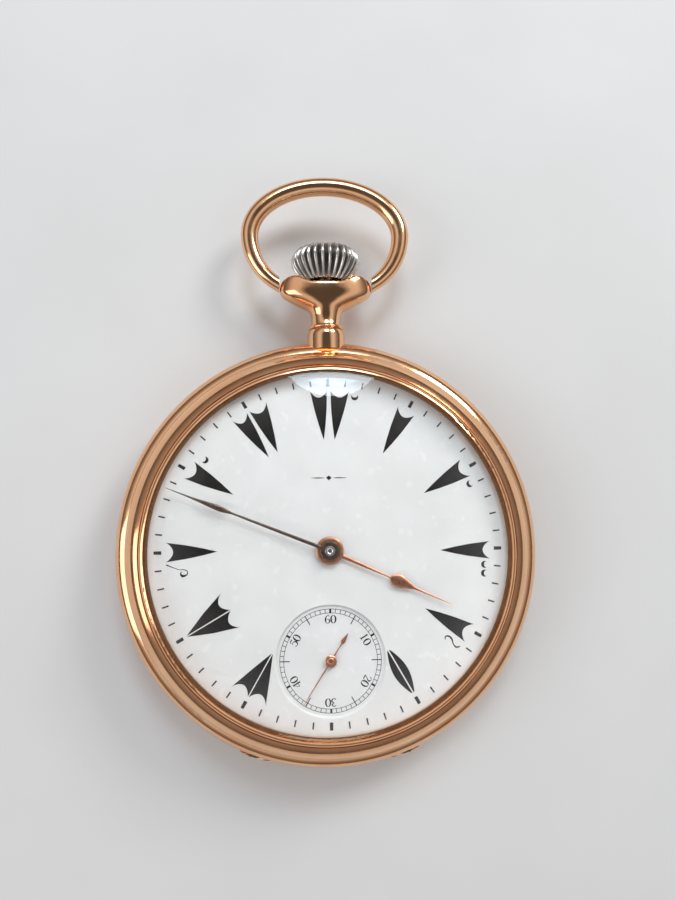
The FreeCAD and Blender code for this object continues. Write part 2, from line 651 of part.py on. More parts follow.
def make_jewels():
    """The pressed-in hole jewels of the train, in the plate and in the bridges."""
    rings = []
    for name, at in SPOTS.items():
        bore = "0.3" if name == "fourth" else "pivot_radius + pivot_fit"
        low = [("plate", "plate_back", "plate_back + 0.5", bore)]
        if name == "fork":
            low.append(("bridge", "plate_back - 1.5", "plate_back - 1.15",
                        "pivot_radius + pivot_fit"))
        else:
            back = "bridge_back + 0.4" if name == "balance" else "bridge_front - 0.6"
            top = "bridge_front - 0.3" if name == "balance" else "bridge_front"
            low.append(("bridge", back, top, "pivot_radius + pivot_fit"))
        for side, z, top, hole in low:
            radius = "jewel_radius - 0.3" if name == "fork" else "jewel_radius"
            rings.append(turned(f"jewel_{name}_{side}", [
                (hole, z), (radius, z), (radius, top), (hole, top)], at=(*at, 0)))
    grouped("jewels", rings)
    return rings


def seats(label, z, top, spots, radius="jewel_radius"):
    """Plain holes for jewels."""
    return [rod(f"{label}_{name}_seat", radius, z, top, SPOTS[name]) for name in spots]


def make_mainplate(screws, feet):
    """The plate everything stands on, recessed on the dial side for the two small works."""
    disc = turned("plate_disc", [
        (0, "plate_back"), ("plate_radius", "plate_back"), ("plate_radius", "recess_floor"),
        ("plate_radius + 0.75", "recess_floor"), ("plate_radius + 0.75", "plate_front"),
        (0, "plate_front")])
    hollow = [rod("motion_recess", 7.5, "recess_floor", "plate_front + 1"),
              block("keyless_recess", (-6.6, 4, "recess_floor"), (6.4, 19.3, "plate_front + 1")),
              block("clutch_slot", (-2, 12.05, "plate_back - 1"), (2, 16.6, "plate_front + 1")),
              block("lever_slot", (-1, 16.5, "plate_back - 1"), (1.3, 19.3, "plate_front + 1")),
              rod("barrel_pivot_hole", 0.85, "plate_back - 1", "plate_front + 1", BARREL),
              rod("centre_hole", 0.75, "plate_back - 1", "plate_front + 1"),
              rod("fourth_hole", 0.5, "plate_back", "plate_front + 1", FOURTH)]
    hollow += seats("plate", "plate_back - 1", "plate_back + 0.5",
                    ("third", "fourth", "escape", "balance"))
    hollow += seats("plate", "plate_back - 1", "plate_back + 0.5", ("fork",),
                    "jewel_radius - 0.3")
    posts = [rod("minute_post", 0.3, "plate_back", "plate_front - 0.05", MINUTE),
             rod("setting_post", 0.4, "plate_back", "plate_front - 0.5", SETTING),
             rod("lever_post", 0.4, "plate_back", "plate_front - 0.55", LEVER),
             rod("yoke_post", 0.4, "plate_back", "plate_front - 0.55", YOKE),
             block("stem_pilot", (-1.1, 11, "stem_height - 0.8"), (1.2, 12, "plate_back + 0.2"))]
    body = cut("plate_cut", disc, hollow)
    cut("mainplate", fused("plate_with_posts", [body, *posts]), [
        *screws, *feet, shaft("pilot_hole", 0.4, 10, 13),
        *[doc.getObject(f"case_screw_{angle}") for angle in (60, 235)]])


def make_barrel_bridge(screws):
    """The bridge over the barrel and the winding wheels."""
    whole = make_bridge("barrel_bridge", BARREL_EDGE)
    well = cut("crown_wheel_well", rod("crown_well_round", 4.15, "bridge_back - 1",
                                       "bridge_front - 0.15", CROWN_WHEEL),
               [rod("crown_wheel_hub", 1.5, "bridge_back - 1", "bridge_front", CROWN_WHEEL)])
    room = rod("case_screw_room", 1.3, "bridge_back - 1", "plate_back",
               around("plate_radius - 0.5", 60))
    cut("barrel_bridge", whole, [
        well, block("pinion_window", (-2.1, 14.3, "bridge_back - 1"), (2.1, 16.6, "plate_back")),
        block("lever_room", (-1.3, 16.5, "bridge_front"), (1.5, 19.45, "plate_back + 1")),
        rod("arbor_hole", 1.05, "bridge_back - 1", "bridge_front + 1", BARREL),
        shaft("stem_bearing", "stem_radius + 0.03", 17, 24), room, *screws,
        doc.getObject("crown_wheel_core")])


def make_train_bridge(screws):
    """The bridge over the centre, third, fourth and escape wheels."""
    whole = make_bridge("train_bridge", TRAIN_EDGE)
    cut("train_bridge", whole, [
        *seats("train", "bridge_back - 1", "bridge_front + 1",
               ("third", "fourth", "escape")),
        rod("centre_bearing", 0.4, "bridge_back - 1", "bridge_front + 1"), *screws])


def make_pallet_bridge(screws):
    """The small bridge over the pallet fork, under the balance."""
    z, top = "plate_back - 1.5", "plate_back - 1.15"
    deck = block("pallet_deck", ("0 - 3.2", "0 - 0.7", z), (3.2, 0.7, top))
    angle = fork_line - 90
    put(deck, f"{FORK[0]} - 3.2 * cos({angle}) + 0.7 * sin({angle})",
        f"{FORK[1]} - 3.2 * sin({angle}) - 0.7 * cos({angle})", z,
        Rotation(Vector(0, 0, 1), angle))
    feet = [rod(f"pallet_foot_{n}", 0.75, z, "plate_back", pallet_foot(side))
            for n, side in enumerate((1, -1))]
    cut("pallet_bridge", fused("pallet_whole", [deck, *feet]), [
        *seats("pallet", f"{z} - 1", "plate_back", ("fork",), "jewel_radius - 0.3"),
        *screws])


def make_balance_cock(screws):
    """The cock over the balance, with a raised boss that guides the regulator."""
    angle = bearing(BALANCE, COCK_FOOT)
    head = rod("cock_head", 2.0, "bridge_back", "bridge_front - 0.3", BALANCE)
    foot = rod("cock_foot", 2.2, "bridge_back", "plate_back", COCK_FOOT)
    boss = rod("cock_boss", 1.0, "bridge_back - 0.45", "bridge_front - 0.3", BALANCE)
    arm = plate("cock_arm", [(0, -1.7), (8.9, -2.0), (8.9, 2.0), (0, 1.7)], "bridge_back",
                "bridge_front - bridge_back - 0.3", at=BALANCE,
                turn=Rotation(Vector(0, 0, 1), angle))
    seat = rod("cock_jewel_seat", "jewel_radius", "bridge_back + 0.4", "bridge_front", BALANCE)
    stud = block("stud", ("balance_x + 3.0", "balance_y - 0.25", "bridge_front - 0.25"),
                 ("balance_x + 3.5", "balance_y + 0.25", "bridge_front + 0.1"))
    carrier = block("stud_carrier", ("balance_x + 1.5", "balance_y - 0.35", "bridge_back"),
                    ("balance_x + 3.6", "balance_y + 0.35", "bridge_front - 0.25"))
    cut("balance_cock", fused("cock_whole", [head, foot, boss, arm, carrier, stud]),
        [seat, *screws])


def make_regulator():
    """The regulator: a ring on the cock's boss, an index and two curb pins."""
    z, top = "bridge_back - 0.35", "bridge_back - 0.05"
    ring = turned("regulator_ring", [(1.05, z), (1.6, z), (1.6, top), (1.05, top)],
                  at=(*BALANCE, 0))
    arm = plate("regulator_arm", [(1.3, -0.35), (5.4, -0.08), (5.4, 0.08), (1.3, 0.35)], z,
                f"({top}) - ({z})", at=BALANCE, turn=Rotation(Vector(0, 0, 1), 100))
    tail = plate("regulator_tail", [(1.3, -0.3), (3.6, -0.2), (3.6, 0.2), (1.3, 0.3)], z,
                 f"({top}) - ({z})", at=BALANCE, turn=Rotation(Vector(0, 0, 1), -80))
    pins = [rod(f"curb_pin_{n}", 0.06, z, "bridge_front + 0.05",
                (f"balance_x + {reach} * cos(0 - 80)", f"balance_y + {reach} * sin(0 - 80)"))
            for n, reach in enumerate((3.05, 3.35))]
    fused("regulator", [ring, arm, tail, *pins])


# ---- winding and setting work ----------------------------------------------------------

LEVER = (3.2, 17.0)
YOKE = (-4.0, 15.5)


def make_stem_parts():
    """The stem, the winding pinion, the sliding clutch and the crown, all on one axis."""
    turned("winding_stem", [
        (0, 9.9), (0.35, 9.9), (0.35, 12.2), ("stem_radius", 12.2), ("stem_radius", 17.2),
        (0.35, 17.2), (0.35, 18.2), ("stem_radius", 18.2), ("stem_radius", "head_y + 3.2"),
        (0, "head_y + 3.2")], at=(0, 0, "stem_height"), turn=ALONG_STEM)
    leaves, module = int(num("winding_leaves")), num("winding_module")
    teeth = shaped("winding_teeth", toothed(leaves, module, 14.7, 16.3, bore=0.65),
                   (0, 0, "stem_height"), ALONG_STEM)
    collar = turned("winding_collar", [(0.65, 16.3), (1.3, 16.3), (1.3, 16.5), (0.65, 16.5)],
                    at=(0, 0, "stem_height"), turn=ALONG_STEM)
    fused("winding_pinion", [teeth, collar])
    turned("sliding_clutch", [
        (0.65, 13.2), (1.4, 13.2), (1.4, 13.5), (1.0, 13.5), (1.0, 14.2), (1.4, 14.2),
        (1.4, 14.5), (0.65, 14.5)], at=(0, 0, "stem_height"), turn=ALONG_STEM)


def make_crown():
    """The ribbed winding crown, threaded on the stem."""
    wide = "crown_diameter / 2"
    top = "crown_base + crown_height"
    blank = turned("crown_blank", [
        ("stem_radius", "head_y - 1.8"), (1.2, "head_y - 1.8"), (1.2, "crown_base"),
        (2.6, "crown_base"), (wide, "crown_base + crown_height * 0.52"),
        (f"{wide} - 1.0", f"{top} - 0.45"), (f"{wide} - 1.6", f"{top} - 0.05"), (0, top),
        (0, "head_y + 3.2"),
        ("stem_radius", "head_y + 3.2")],
        {3: (4.0, False), 4: (3.2, False), 5: (0.8, False)},
        at=(0, 0, "stem_height"), turn=ALONG_STEM)
    flutes = int(num("crown_flutes"))
    reach, base, height = num(wide) + 0.13, num("crown_base"), num("crown_height")
    rod_shape = Part.makeCylinder(0.24, height + 1, Vector(reach, 0, base - 0.5))
    ring = []
    for flute in range(flutes):
        one = rod_shape.copy()
        one.rotate(Vector(), Vector(0, 0, 1), 360 * flute / flutes)
        ring.append(one)
    grooves = shaped("crown_grooves", Part.makeCompound(ring), (0, 0, "stem_height"),
                     ALONG_STEM)
    cut("crown", blank, [grooves])


def make_winding_wheels():
    """The crown wheel on its core, the ratchet wheel with its screw, click and spring."""
    z, top = num("bridge_back") - 0.45, num("bridge_back") - 0.05
    module = num("ratchet_module")
    first, second = int(num("crown_wheel_teeth")), int(num("ratchet_teeth"))
    crown_wheel = toothed(first, module, z, top, bearing(CROWN_WHEEL, BARREL), bore=1.35)
    shaped("crown_wheel_disc", crown_wheel, (*CROWN_WHEEL, 0))
    ring = turned("crown_wheel_teeth_ring", [
        (3.2, "bridge_back - 0.05"), (3.75, "bridge_back - 0.05"), (3.75, "bridge_front - 0.2"),
        (3.2, "bridge_front - 0.2")], at=(*CROWN_WHEEL, 0))
    fused("crown_wheel", [doc.getObject("crown_wheel_disc"), ring])
    turned("crown_wheel_core", [
        (0, "bridge_back - 0.58"), (2.0, "bridge_back - 0.58"), (2.0, "bridge_back - 0.5"),
        (1.3, "bridge_back - 0.5"), (1.3, "bridge_back"), (0.6, "bridge_back"),
        (0.6, "bridge_front - 0.2"), (0, "bridge_front - 0.2")], at=(*CROWN_WHEEL, 0))
    phase = mating_phase(second, first, bearing(CROWN_WHEEL, BARREL),
                         bearing(CROWN_WHEEL, BARREL))
    shaped("ratchet_wheel", toothed(second, module, z, top, phase, bore=0.7), (*BARREL, 0))
    screw("ratchet_screw", BARREL, "bridge_back - 0.57", 1.3, 0.12, 0.3, "bridge_back + 1")
    hook = plate("click_hook", [(-0.7, -0.7), (0.6, -0.75), (2.4, -1.0), (2.5, -0.7),
                                (0.7, 0.7), (-0.7, 0.7)],
                 "bridge_back - 0.35", 0.3, at=CLICK)
    cut("click", hook, [rod("click_hole", 0.45, "bridge_back - 1", "bridge_front", CLICK)])
    plate("click_spring", [(-3.2, 1.0), (0.9, 1.5), (2.9, 1.1), (2.9, 1.25), (0.9, 1.7),
                           (-3.4, 1.3)], "bridge_back - 0.35", 0.35, at=CLICK)


def make_setting_work():
    """The setting lever, the yoke, their cover spring and the setting wheel."""
    z, thick = "recess_floor + 0.1", 0.5
    arm = plate("lever_arm", [(0.9, 0.9), (-3.2, 1.25), (-3.6, 0.7), (-3.2, 0.15), (0.9, -0.9)],
                z, thick, at=LEVER)
    pin = rod("lever_pin", 0.2, "stem_height + 0.44", "recess_floor + 0.3",
              (f"{LEVER[0]} - 3.2", f"{LEVER[1]} + 0.7"))
    hole = rod("lever_hole", 0.45, "recess_floor - 1", "plate_front", LEVER)
    cut("setting_lever", fused("lever_whole", [arm, pin]), [hole])
    arm = plate("yoke_arm", [(-0.8, 0.8), (-0.8, -0.8), (3.9, -2.0), (4.35, -1.65),
                             (3.9, -1.3), (0.8, 0.6)], z, thick, at=YOKE)
    pin = rod("yoke_pin", 0.2, "stem_height + 1.1", "recess_floor + 0.3",
              (f"{YOKE[0]} + 4", f"{YOKE[1]} - 1.65"))
    hole = rod("yoke_hole", 0.45, "recess_floor - 1", "plate_front", YOKE)
    cut("yoke", fused("yoke_whole", [arm, pin]), [hole])
    cover = plate("setting_cover", [(-6.3, 14), (-2.6, 14), (-2.6, 16.2), (2.4, 16.2),
                                    (5.0, 14.6), (6.2, 15.2), (6.2, 19), (-6.3, 19)],
                  "plate_front - 0.52", 0.4)
    feet = [rod(f"setting_foot_{side}", 0.5, "recess_floor", "plate_front - 0.52", (x, 18.6))
            for side, x in (("left", -5.6), ("right", 5.6))]
    fused("setting_spring", [cover, *feet])
    module, teeth = num("motion_module"), int(num("setting_teeth"))
    minute_teeth = int(num("minute_teeth"))
    phase = mating_phase(teeth, minute_teeth, bearing(MINUTE, SETTING), minute_phase())
    low = num("recess_floor")
    shaped("setting_wheel", toothed(teeth, module, low + 0.15, low + 0.55, phase, bore=0.45),
           (*SETTING, 0))


def minute_phase():
    """The turn of the minute wheel that lets it mesh with the cannon pinion."""
    return mating_phase(int(num("minute_teeth")), int(num("cannon_teeth")),
                        bearing(CENTRE, MINUTE))


# ---- going train -----------------------------------------------------------------------

def make_wheel(label, teeth, module, z, top, at, phase, bore, hub, arms=5):
    """A crossed-out train wheel."""
    rim = teeth * module / 2 - 2.6 * module - 0.35
    solid = crossed(toothed(teeth, module, z, top, phase, bore), hub, rim, z, top, arms)
    shaped(label, solid, (*at, 0))


def make_pinion(label, leaves, module, low, high, at, phase, profile):
    """A pinion: leaves cut on a turned arbor."""
    arbor = turned(f"{label}_arbor", profile, at=(*at, 0))
    teeth = shaped(f"{label}_leaves", toothed(leaves, module, low, high, phase, width=0.56),
                   (*at, 0))
    fused(label, [arbor, teeth])


def pivoted(seat, seat_z, seat_top, low, high, body, end="plate_back + 0.45"):
    """The profile of a train arbor: two pivots, a body and a seat for its wheel."""
    return [(0, "bridge_front - 0.55"), ("pivot_radius", "bridge_front - 0.55"),
            ("pivot_radius", low), (body, low), (body, seat_z), (seat, seat_z),
            (seat, seat_top), (body, seat_top), (body, high), ("pivot_radius", high),
            ("pivot_radius", end), (0, end)]


def make_barrel():
    """The mainspring barrel, its cover, arbor and coiled spring."""
    teeth, module = int(num("barrel_teeth")), num("barrel_module")
    phase = mating_phase(teeth, int(num("centre_leaves")), bearing(CENTRE, BARREL))
    wall = teeth * module / 2 - 0.5
    rim = toothed(teeth, module, 5.35, 5.85, phase, bore=wall - 0.3)
    drum = Part.makeCylinder(wall, 1.45, Vector(0, 0, 4.45))
    drum = drum.cut(Part.makeCylinder(wall - 0.6, 1.25, Vector(0, 0, 4.45)))
    drum = drum.cut(Part.makeCylinder(0.85, 3, Vector(0, 0, 4)))
    shaped("barrel", drum.fuse(rim), (*BARREL, 0))
    turned("barrel_cover", [(1.05, 4.3), (wall, 4.3), (wall, 4.45), (1.05, 4.45)],
           at=(*BARREL, 0))
    arbor = turned("barrel_arbor_blank", [
        (0, "bridge_back - 0.45"), (0.7, "bridge_back - 0.45"), (0.7, "bridge_back - 0.05"),
        (1.0, "bridge_back - 0.05"), (1.0, 4.5), (1.2, 4.5), (1.2, 5.65), (0.8, 5.65),
        (0.8, "plate_back + 0.8"), (0, "plate_back + 0.8")], at=(*BARREL, 0))
    cut("barrel_arbor", arbor, [doc.getObject("ratchet_screw")])
    shaped("mainspring", spiral(1.6, wall - 0.675, 9, 0.15, 4.55, 5.6), (*BARREL, 0))


def make_train():
    """The centre, third, fourth and escape wheels with their pinions."""
    leaves, teeth = int(num("centre_leaves")), int(num("centre_teeth"))
    make_pinion("centre_pinion", leaves, num("barrel_module"), 5.2, 5.95, CENTRE, 0.0, [
        (0, "bridge_back + 0.1"), (0.35, "bridge_back + 0.1"), (0.35, "bridge_front + 0.05"),
        (0.9, "bridge_front + 0.05"), (0.9, 5.95), (0.7, 5.95),
        (0.7, "recess_floor + 0.02"), (0.5, "recess_floor + 0.02"), (0.5, "dial_top + 0.7"),
        (0, "dial_top + 0.7")])
    first = bearing(CENTRE, THIRD)
    make_wheel("centre_wheel", teeth, num("centre_module"), 3.8, 4.1, CENTRE, first, 0.9, 1.9)
    third_leaves = int(num("third_leaves"))
    make_pinion("third_pinion", third_leaves, num("centre_module"), 3.7, 4.4, THIRD,
                mating_phase(third_leaves, teeth, first, first),
                pivoted(0.6, 5.0, 5.3, 3.65, "plate_back - 0.1", 0.45))
    third_teeth, module = int(num("third_teeth")), num("third_module")
    onward = bearing(THIRD, FOURTH)
    make_wheel("third_wheel", third_teeth, module, 5.0, 5.3, THIRD, onward, 0.6, 1.5)
    fourth_leaves = int(num("fourth_leaves"))
    make_pinion("fourth_pinion", fourth_leaves, module, 4.75, 5.55, FOURTH,
                mating_phase(fourth_leaves, third_teeth, onward, onward), [
                    (0, 3.05), ("pivot_radius", 3.05), ("pivot_radius", 3.65), (0.45, 3.65),
                    (0.45, 4.0), (0.55, 4.0), (0.55, 4.25), (0.45, 4.25), (0.45, 6.1),
                    (0.25, 6.1), (0.25, "seconds_top + 0.45"), (0, "seconds_top + 0.45")])
    fourth_teeth, module = int(num("fourth_teeth")), num("fourth_module")
    last = bearing(FOURTH, ESCAPE)
    make_wheel("fourth_wheel", fourth_teeth, module, 4.0, 4.25, FOURTH, last, 0.55, 1.3)
    escape_leaves = int(num("escape_leaves"))
    make_pinion("escape_pinion", escape_leaves, module, 3.85, 4.4, ESCAPE,
                mating_phase(escape_leaves, fourth_teeth, last, last),
                pivoted(0.4, 5.2, 5.45, 3.65, "plate_back - 0.1", 0.3))


def make_escape_wheel():
    """The club-toothed escape wheel."""
    teeth, tip = int(num("escape_teeth")), num("escape_radius")
    pitch = 360.0 / teeth
    club = ((0.0, -0.75), (2.0, -0.14), (3.2, 0.0), (7.6, -0.1), (8.4, -0.3), (12.0, -0.75))
    points = []
    for tooth in range(teeth):
        for lean, drop in club:
            angle = math.radians(tooth * pitch + lean)
            points.append(Vector((tip + drop) * math.cos(angle),
                                 (tip + drop) * math.sin(angle), 0))
    solid = prism(points, 5.2, 0.25).cut(Part.makeCylinder(0.4, 2, Vector(0, 0, 4.5)))
    shaped("escape_wheel", crossed(solid, 0.9, tip - 1.1, 5.2, 5.45, 4, 0.45), (*ESCAPE, 0))


def make_fork():
    """The pallet fork with its arbor, and its two jewel stones."""
    turn = Rotation(Vector(0, 0, 1), fork_line)
    reach = num("sqrt((balance_x - escape_x)^2 + (balance_y - escape_y)^2)")
    horn = reach - num("escape_to_fork") - 1.05
    lever = plate("fork_lever", [
        (-0.35, -0.45), (0.3, -0.4), (horn - 1.2, -0.14), (horn - 0.6, -0.4),
        (horn, -0.42), (horn - 0.05, -0.2), (horn - 0.45, 0), (horn - 0.05, 0.2),
        (horn, 0.42), (horn - 0.6, 0.4), (horn - 1.2, 0.14), (0.3, 0.4), (-0.35, 0.45)],
        5.2, 0.3, at=FORK, turn=turn)
    arms = [plate(f"fork_arm_{name}", [(-0.35, 0.2 * side), (0.3, 0.2 * side),
                                       (0.15, 2.3 * side), (-0.35, 2.3 * side)],
                  5.2, 0.3, at=FORK, turn=turn) for name, side in (("up", 1), ("down", -1))]
    arbor = turned("fork_arbor", [
        (0, 4.75), ("pivot_radius", 4.75), ("pivot_radius", 5.1), (0.3, 5.1), (0.3, 6.1),
        ("pivot_radius", 6.1), ("pivot_radius", 6.6), (0, 6.6)], at=(*FORK, 0))
    fused("pallet_fork", [lever, *arms, arbor])
    stones = [plate(f"stone_{name}", [(-0.6, 1.75 * side), (-0.35, 1.75 * side),
                                      (-0.35, 2.25 * side), (-0.6, 2.1 * side)],
                    5.2, 0.3, at=FORK, turn=turn) for name, side in (("up", 1), ("down", -1))]
    grouped("pallet_stones", stones)


def make_balance():
    """The balance with its timing screws, the staff, the roller and the hairspring."""
    radius = num("balance_radius") - 0.35
    low, high = 3.75, 4.45
    rim = Part.makeCylinder(radius, high - low, Vector(0, 0, low))
    rim = rim.cut(Part.makeCylinder(radius - 0.65, 3, Vector(0, 0, low - 1)))
    arm = Part.makeBox(2 * radius - 0.8, 0.7, 0.3, Vector(0.4 - radius, -0.35, 3.95))
    hub = Part.makeCylinder(0.8, 0.3, Vector(0, 0, 3.95))
    studs = [Part.makeCylinder(0.28, 0.5, Vector(radius - 0.2, 0, 4.1), Vector(1, 0, 0))
             for _ in range(14)]
    for index, stud in enumerate(studs):
        stud.rotate(Vector(), Vector(0, 0, 1), 12 + 360 * index / len(studs))
    whole = rim.multiFuse([arm, hub, *studs])
    shaped("balance_wheel", whole.cut(Part.makeCylinder(0.4, 3, Vector(0, 0, 3))),
           (*BALANCE, 0))
    turned("balance_staff", [
        (0, 2.85), ("pivot_radius", 2.85), ("pivot_radius", 3.35), (0.4, 3.35), (0.4, 4.75),
        (0.25, 4.75), (0.25, 6.1), ("pivot_radius", 6.1), ("pivot_radius", 6.65), (0, 6.65)],
        at=(*BALANCE, 0))
    disc = turned("roller_disc", [(0.25, 4.75), (1.0, 4.75), (1.0, 4.95), (0.25, 4.95)],
                  at=(*BALANCE, 0))
    jewel = rod("roller_pin", 0.12, 4.75, 5.45,
                (f"balance_x - 0.75 * cos({fork_line})", f"balance_y - 0.75 * sin({fork_line})"))
    fused("roller", [disc, jewel])
    coil = spiral(0.6, 3.2, 9, 0.06, 3.4, 3.62, tail=70)
    shaped("hairspring", coil, (*BALANCE, 0), Rotation(Vector(0, 0, 1), -115))


# ---- dial side -------------------------------------------------------------------------

def make_motion_work():
    """The cannon pinion, the minute wheel with its pinion and the hour wheel."""
    cannon, minute = int(num("cannon_teeth")), int(num("minute_teeth"))
    hour, small = int(num("hour_teeth")), int(num("minute_leaves"))
    module, slow = num("motion_module"), num("hour_module")
    base = num("recess_floor")
    tube = turned("cannon_tube", [
        (0.5, "recess_floor + 0.05"), (0.74, "recess_floor + 0.05"),
        (0.74, "recess_floor + 0.67"), (0.95, "recess_floor + 0.67"),
        (0.95, "dial_top + 0.85"), (0.6, "dial_top + 0.85"), (0.6, "dial_top + 1.35"),
        (0.2, "dial_top + 1.35"), (0.2, "dial_top + 0.7"), (0.5, "dial_top + 0.7")])
    teeth = shaped("cannon_leaves", toothed(cannon, module, base + 0.1, base + 0.65, 0.0,
                                            bore=0.5, width=0.56))
    fused("cannon_pinion", [tube, teeth])
    wheel = toothed(minute, module, base + 0.15, base + 0.45, minute_phase(), bore=0.35)
    spin = bearing(MINUTE, CENTRE)
    leaves = toothed(small, slow, base + 0.45, base + 1.08, spin, bore=0.35, width=0.56)
    shaped("minute_wheel", wheel.fuse(leaves), (*MINUTE, 0))
    phase = mating_phase(hour, small, spin, spin)
    disc = toothed(hour, slow, base + 0.82, base + 1.05, phase, bore=1.0)
    pipe = Part.makeCylinder(1.25, num("dial_top") + 0.7 - base - 0.82,
                             Vector(0, 0, base + 0.82))
    pipe = pipe.cut(Part.makeCylinder(1.0, 6, Vector(0, 0, base)))
    shaped("hour_wheel", disc.fuse(pipe))


def make_dial(feet):
    """The enamel dial, the sunk seconds dial and the copper feet."""
    disc = turned("dial_disc", [
        (1.5, "plate_front"), ("dial_radius", "plate_front"), ("dial_radius", "dial_top - 0.15"),
        ("dial_radius - 0.15", "dial_top"), (1.5, "dial_top")])
    rim = "seconds_dial_diameter / 2"
    sink = turned("seconds_sink", [
        (0, "plate_front - 1"), (rim, "plate_front - 1"), (rim, "seconds_top"),
        (f"{rim} + 0.22", "dial_top + 0.01"), (0, "dial_top + 0.01")], at=(*FOURTH, 0))
    cut("dial", disc, [sink])
    turned("seconds_dial", [
        (0.5, "plate_front"), (rim, "plate_front"), (rim, "seconds_top"),
        (0.5, "seconds_top")], at=(*FOURTH, 0))
    grouped("dial_feet", feet)


def make_dial_feet():
    """Three short feet that locate the dial on the plate."""
    return [rod(f"dial_foot_{angle}", 0.5, "plate_front - 0.9", "plate_front",
                around("plate_radius - 2.6", angle)) for angle in (15, 165, 285)]


def hand_turn(share):
    """The rotation that points a hand drawn along +X at a share of the full dial."""
    return Rotation(Vector(0, 0, 1), 90 - 360 * share)


def needle(label, stations, z, thickness, at, turn):
    """A hand's blade, symmetric about its length: (distance, half-width) stations."""
    upper = [(x, w) for x, w in stations]
    lower = [(x, f"0 - ({w})") for x, w in reversed(stations)]
    return plate(label, lower + upper, z, thickness, at=at, turn=turn)


def make_hands():
    """The three hands, set to the time the watch shows."""
    seconds = num("shown_second")
    minutes = num("shown_minute")
    hours = num("shown_hour") + minutes / 60
    blade = needle("hour_blade", [
        (1.3, 0.26), ("hour_length * 0.49", 0.17), ("hour_length * 0.505", 0.35),
        ("hour_length * 0.53", 0.62), ("hour_length * 0.56", 0.74),
        ("hour_length * 0.59", 0.7), ("hour_length * 0.64", 0.46),
        ("hour_length * 0.7", 0.2), ("hour_length * 0.76", 0.13), ("hour_length", 0.05)],
        "dial_top + 0.45", 0.15, CENTRE, hand_turn(hours / 12))
    boss = turned("hour_boss", [
        (1.25, "dial_top + 0.4"), (1.68, "dial_top + 0.4"), (1.68, "dial_top + 0.65"),
        (1.5, "dial_top + 0.75"), (1.25, "dial_top + 0.75")])
    fused("hour_hand", [blade, boss])
    blade = needle("minute_blade", [
        (0.9, 0.2), ("minute_length * 0.59", 0.13), ("minute_length * 0.65", 0.3),
        ("minute_length * 0.68", 0.35), ("minute_length * 0.75", 0.3),
        ("minute_length * 0.87", 0.14), ("minute_length", 0.04)],
        "dial_top + 0.9", 0.14, CENTRE, hand_turn(minutes / 60))
    boss = turned("minute_boss", [
        (0.6, "dial_top + 0.87"), (1.15, "dial_top + 0.87"), (1.15, "dial_top + 1.15"),
        (1.05, "dial_top + 1.25"), (0.6, "dial_top + 1.25")])
    fused("minute_hand", [blade, boss])
    blade = needle("seconds_blade", [
        ("0 - seconds_length * 0.72", 0.04), ("0 - seconds_length * 0.45", 0.3),
        ("0 - seconds_length * 0.44", 0.07), ("seconds_length * 0.1", 0.09),
        ("seconds_length", 0.04)],
        "seconds_top + 0.4", 0.1, FOURTH, hand_turn(seconds / 60))
    boss = turned("seconds_boss", [
        (0.25, "seconds_top + 0.12"), (0.42, "seconds_top + 0.12"),
        (0.42, "seconds_top + 0.36"), (0.72, "seconds_top + 0.36"),
        (0.72, "seconds_top + 0.52"), (0.25, "seconds_top + 0.52")], at=(*FOURTH, 0))
    fused("seconds_hand", [cut("seconds_blade_bored", blade, [
        rod("seconds_blade_hole", 0.25, "seconds_top", "seconds_top + 2", FOURTH)]), boss])


NODES = [
    "case_middle", "back_cover", "cuvette", "hinge_pins", "bezel", "crystal", "pendant",
    "bow", "case_screws", "mainplate", "barrel_bridge", "train_bridge", "pallet_bridge",
    "balance_cock", "movement_screws", "jewels", "regulator", "dial", "seconds_dial",
    "dial_feet", "hour_hand", "minute_hand", "seconds_hand", "cannon_pinion", "minute_wheel",
    "hour_wheel", "crown", "winding_stem", "winding_pinion", "sliding_clutch",
    "setting_lever", "yoke", "setting_spring", "setting_wheel", "crown_wheel",
    "crown_wheel_core", "ratchet_wheel", "ratchet_screw", "click", "click_spring", "barrel",
    "barrel_cover", "barrel_arbor", "mainspring", "centre_pinion", "centre_wheel",
    "third_pinion", "third_wheel", "fourth_pinion", "fourth_wheel", "escape_pinion",
    "escape_wheel", "pallet_fork", "pallet_stones", "balance_wheel", "balance_staff",
    "roller", "hairspring",
]


def make_everything():
    """Build every named part of the watch."""
    make_case_middle()
    make_back_cover()
    make_cuvette()
    make_hinge_pins()
    make_bezel()
    make_crystal()
    make_pendant()
    make_bow()
    make_case_screws()
    screws = make_screws()
    make_jewels()
    make_winding_wheels()
    feet = make_dial_feet()
    make_mainplate([one for several in screws.values() for one in several
                    if several is not screws["click"]], feet)
    make_barrel_bridge(screws["barrel"] + screws["click"])
    make_train_bridge(screws["train"])
    make_pallet_bridge(screws["pallet"])
    make_balance_cock(screws["cock"])
    make_regulator()
    make_stem_parts()
    make_crown()
    make_setting_work()
    make_barrel()
    make_train()
    make_escape_wheel()
    make_fork()
    make_balance()
    make_motion_work()
    make_dial(feet)
    make_hands()


def write_parts():
    """Check every object, then write each named part to its own STEP file."""
    for thing in doc.Objects:
        if "Invalid" in thing.State or "Error" in thing.State:
            raise SystemExit(f"{thing.Label} did not recompute")
    os.makedirs("parts", exist_ok=True)
    for name in NODES:
        shape = doc.getObjectsByLabel(name)[0].Shape
        if shape.isNull() or not shape.isValid() or not shape.Solids:
            raise SystemExit(f"{name} has no valid solid")
        shape.exportStep(f"parts/{name}.step")


make_everything()
doc.recompute()
write_parts()
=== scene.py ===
import math

import bmesh
import bpy
from mathutils import Matrix, Vector


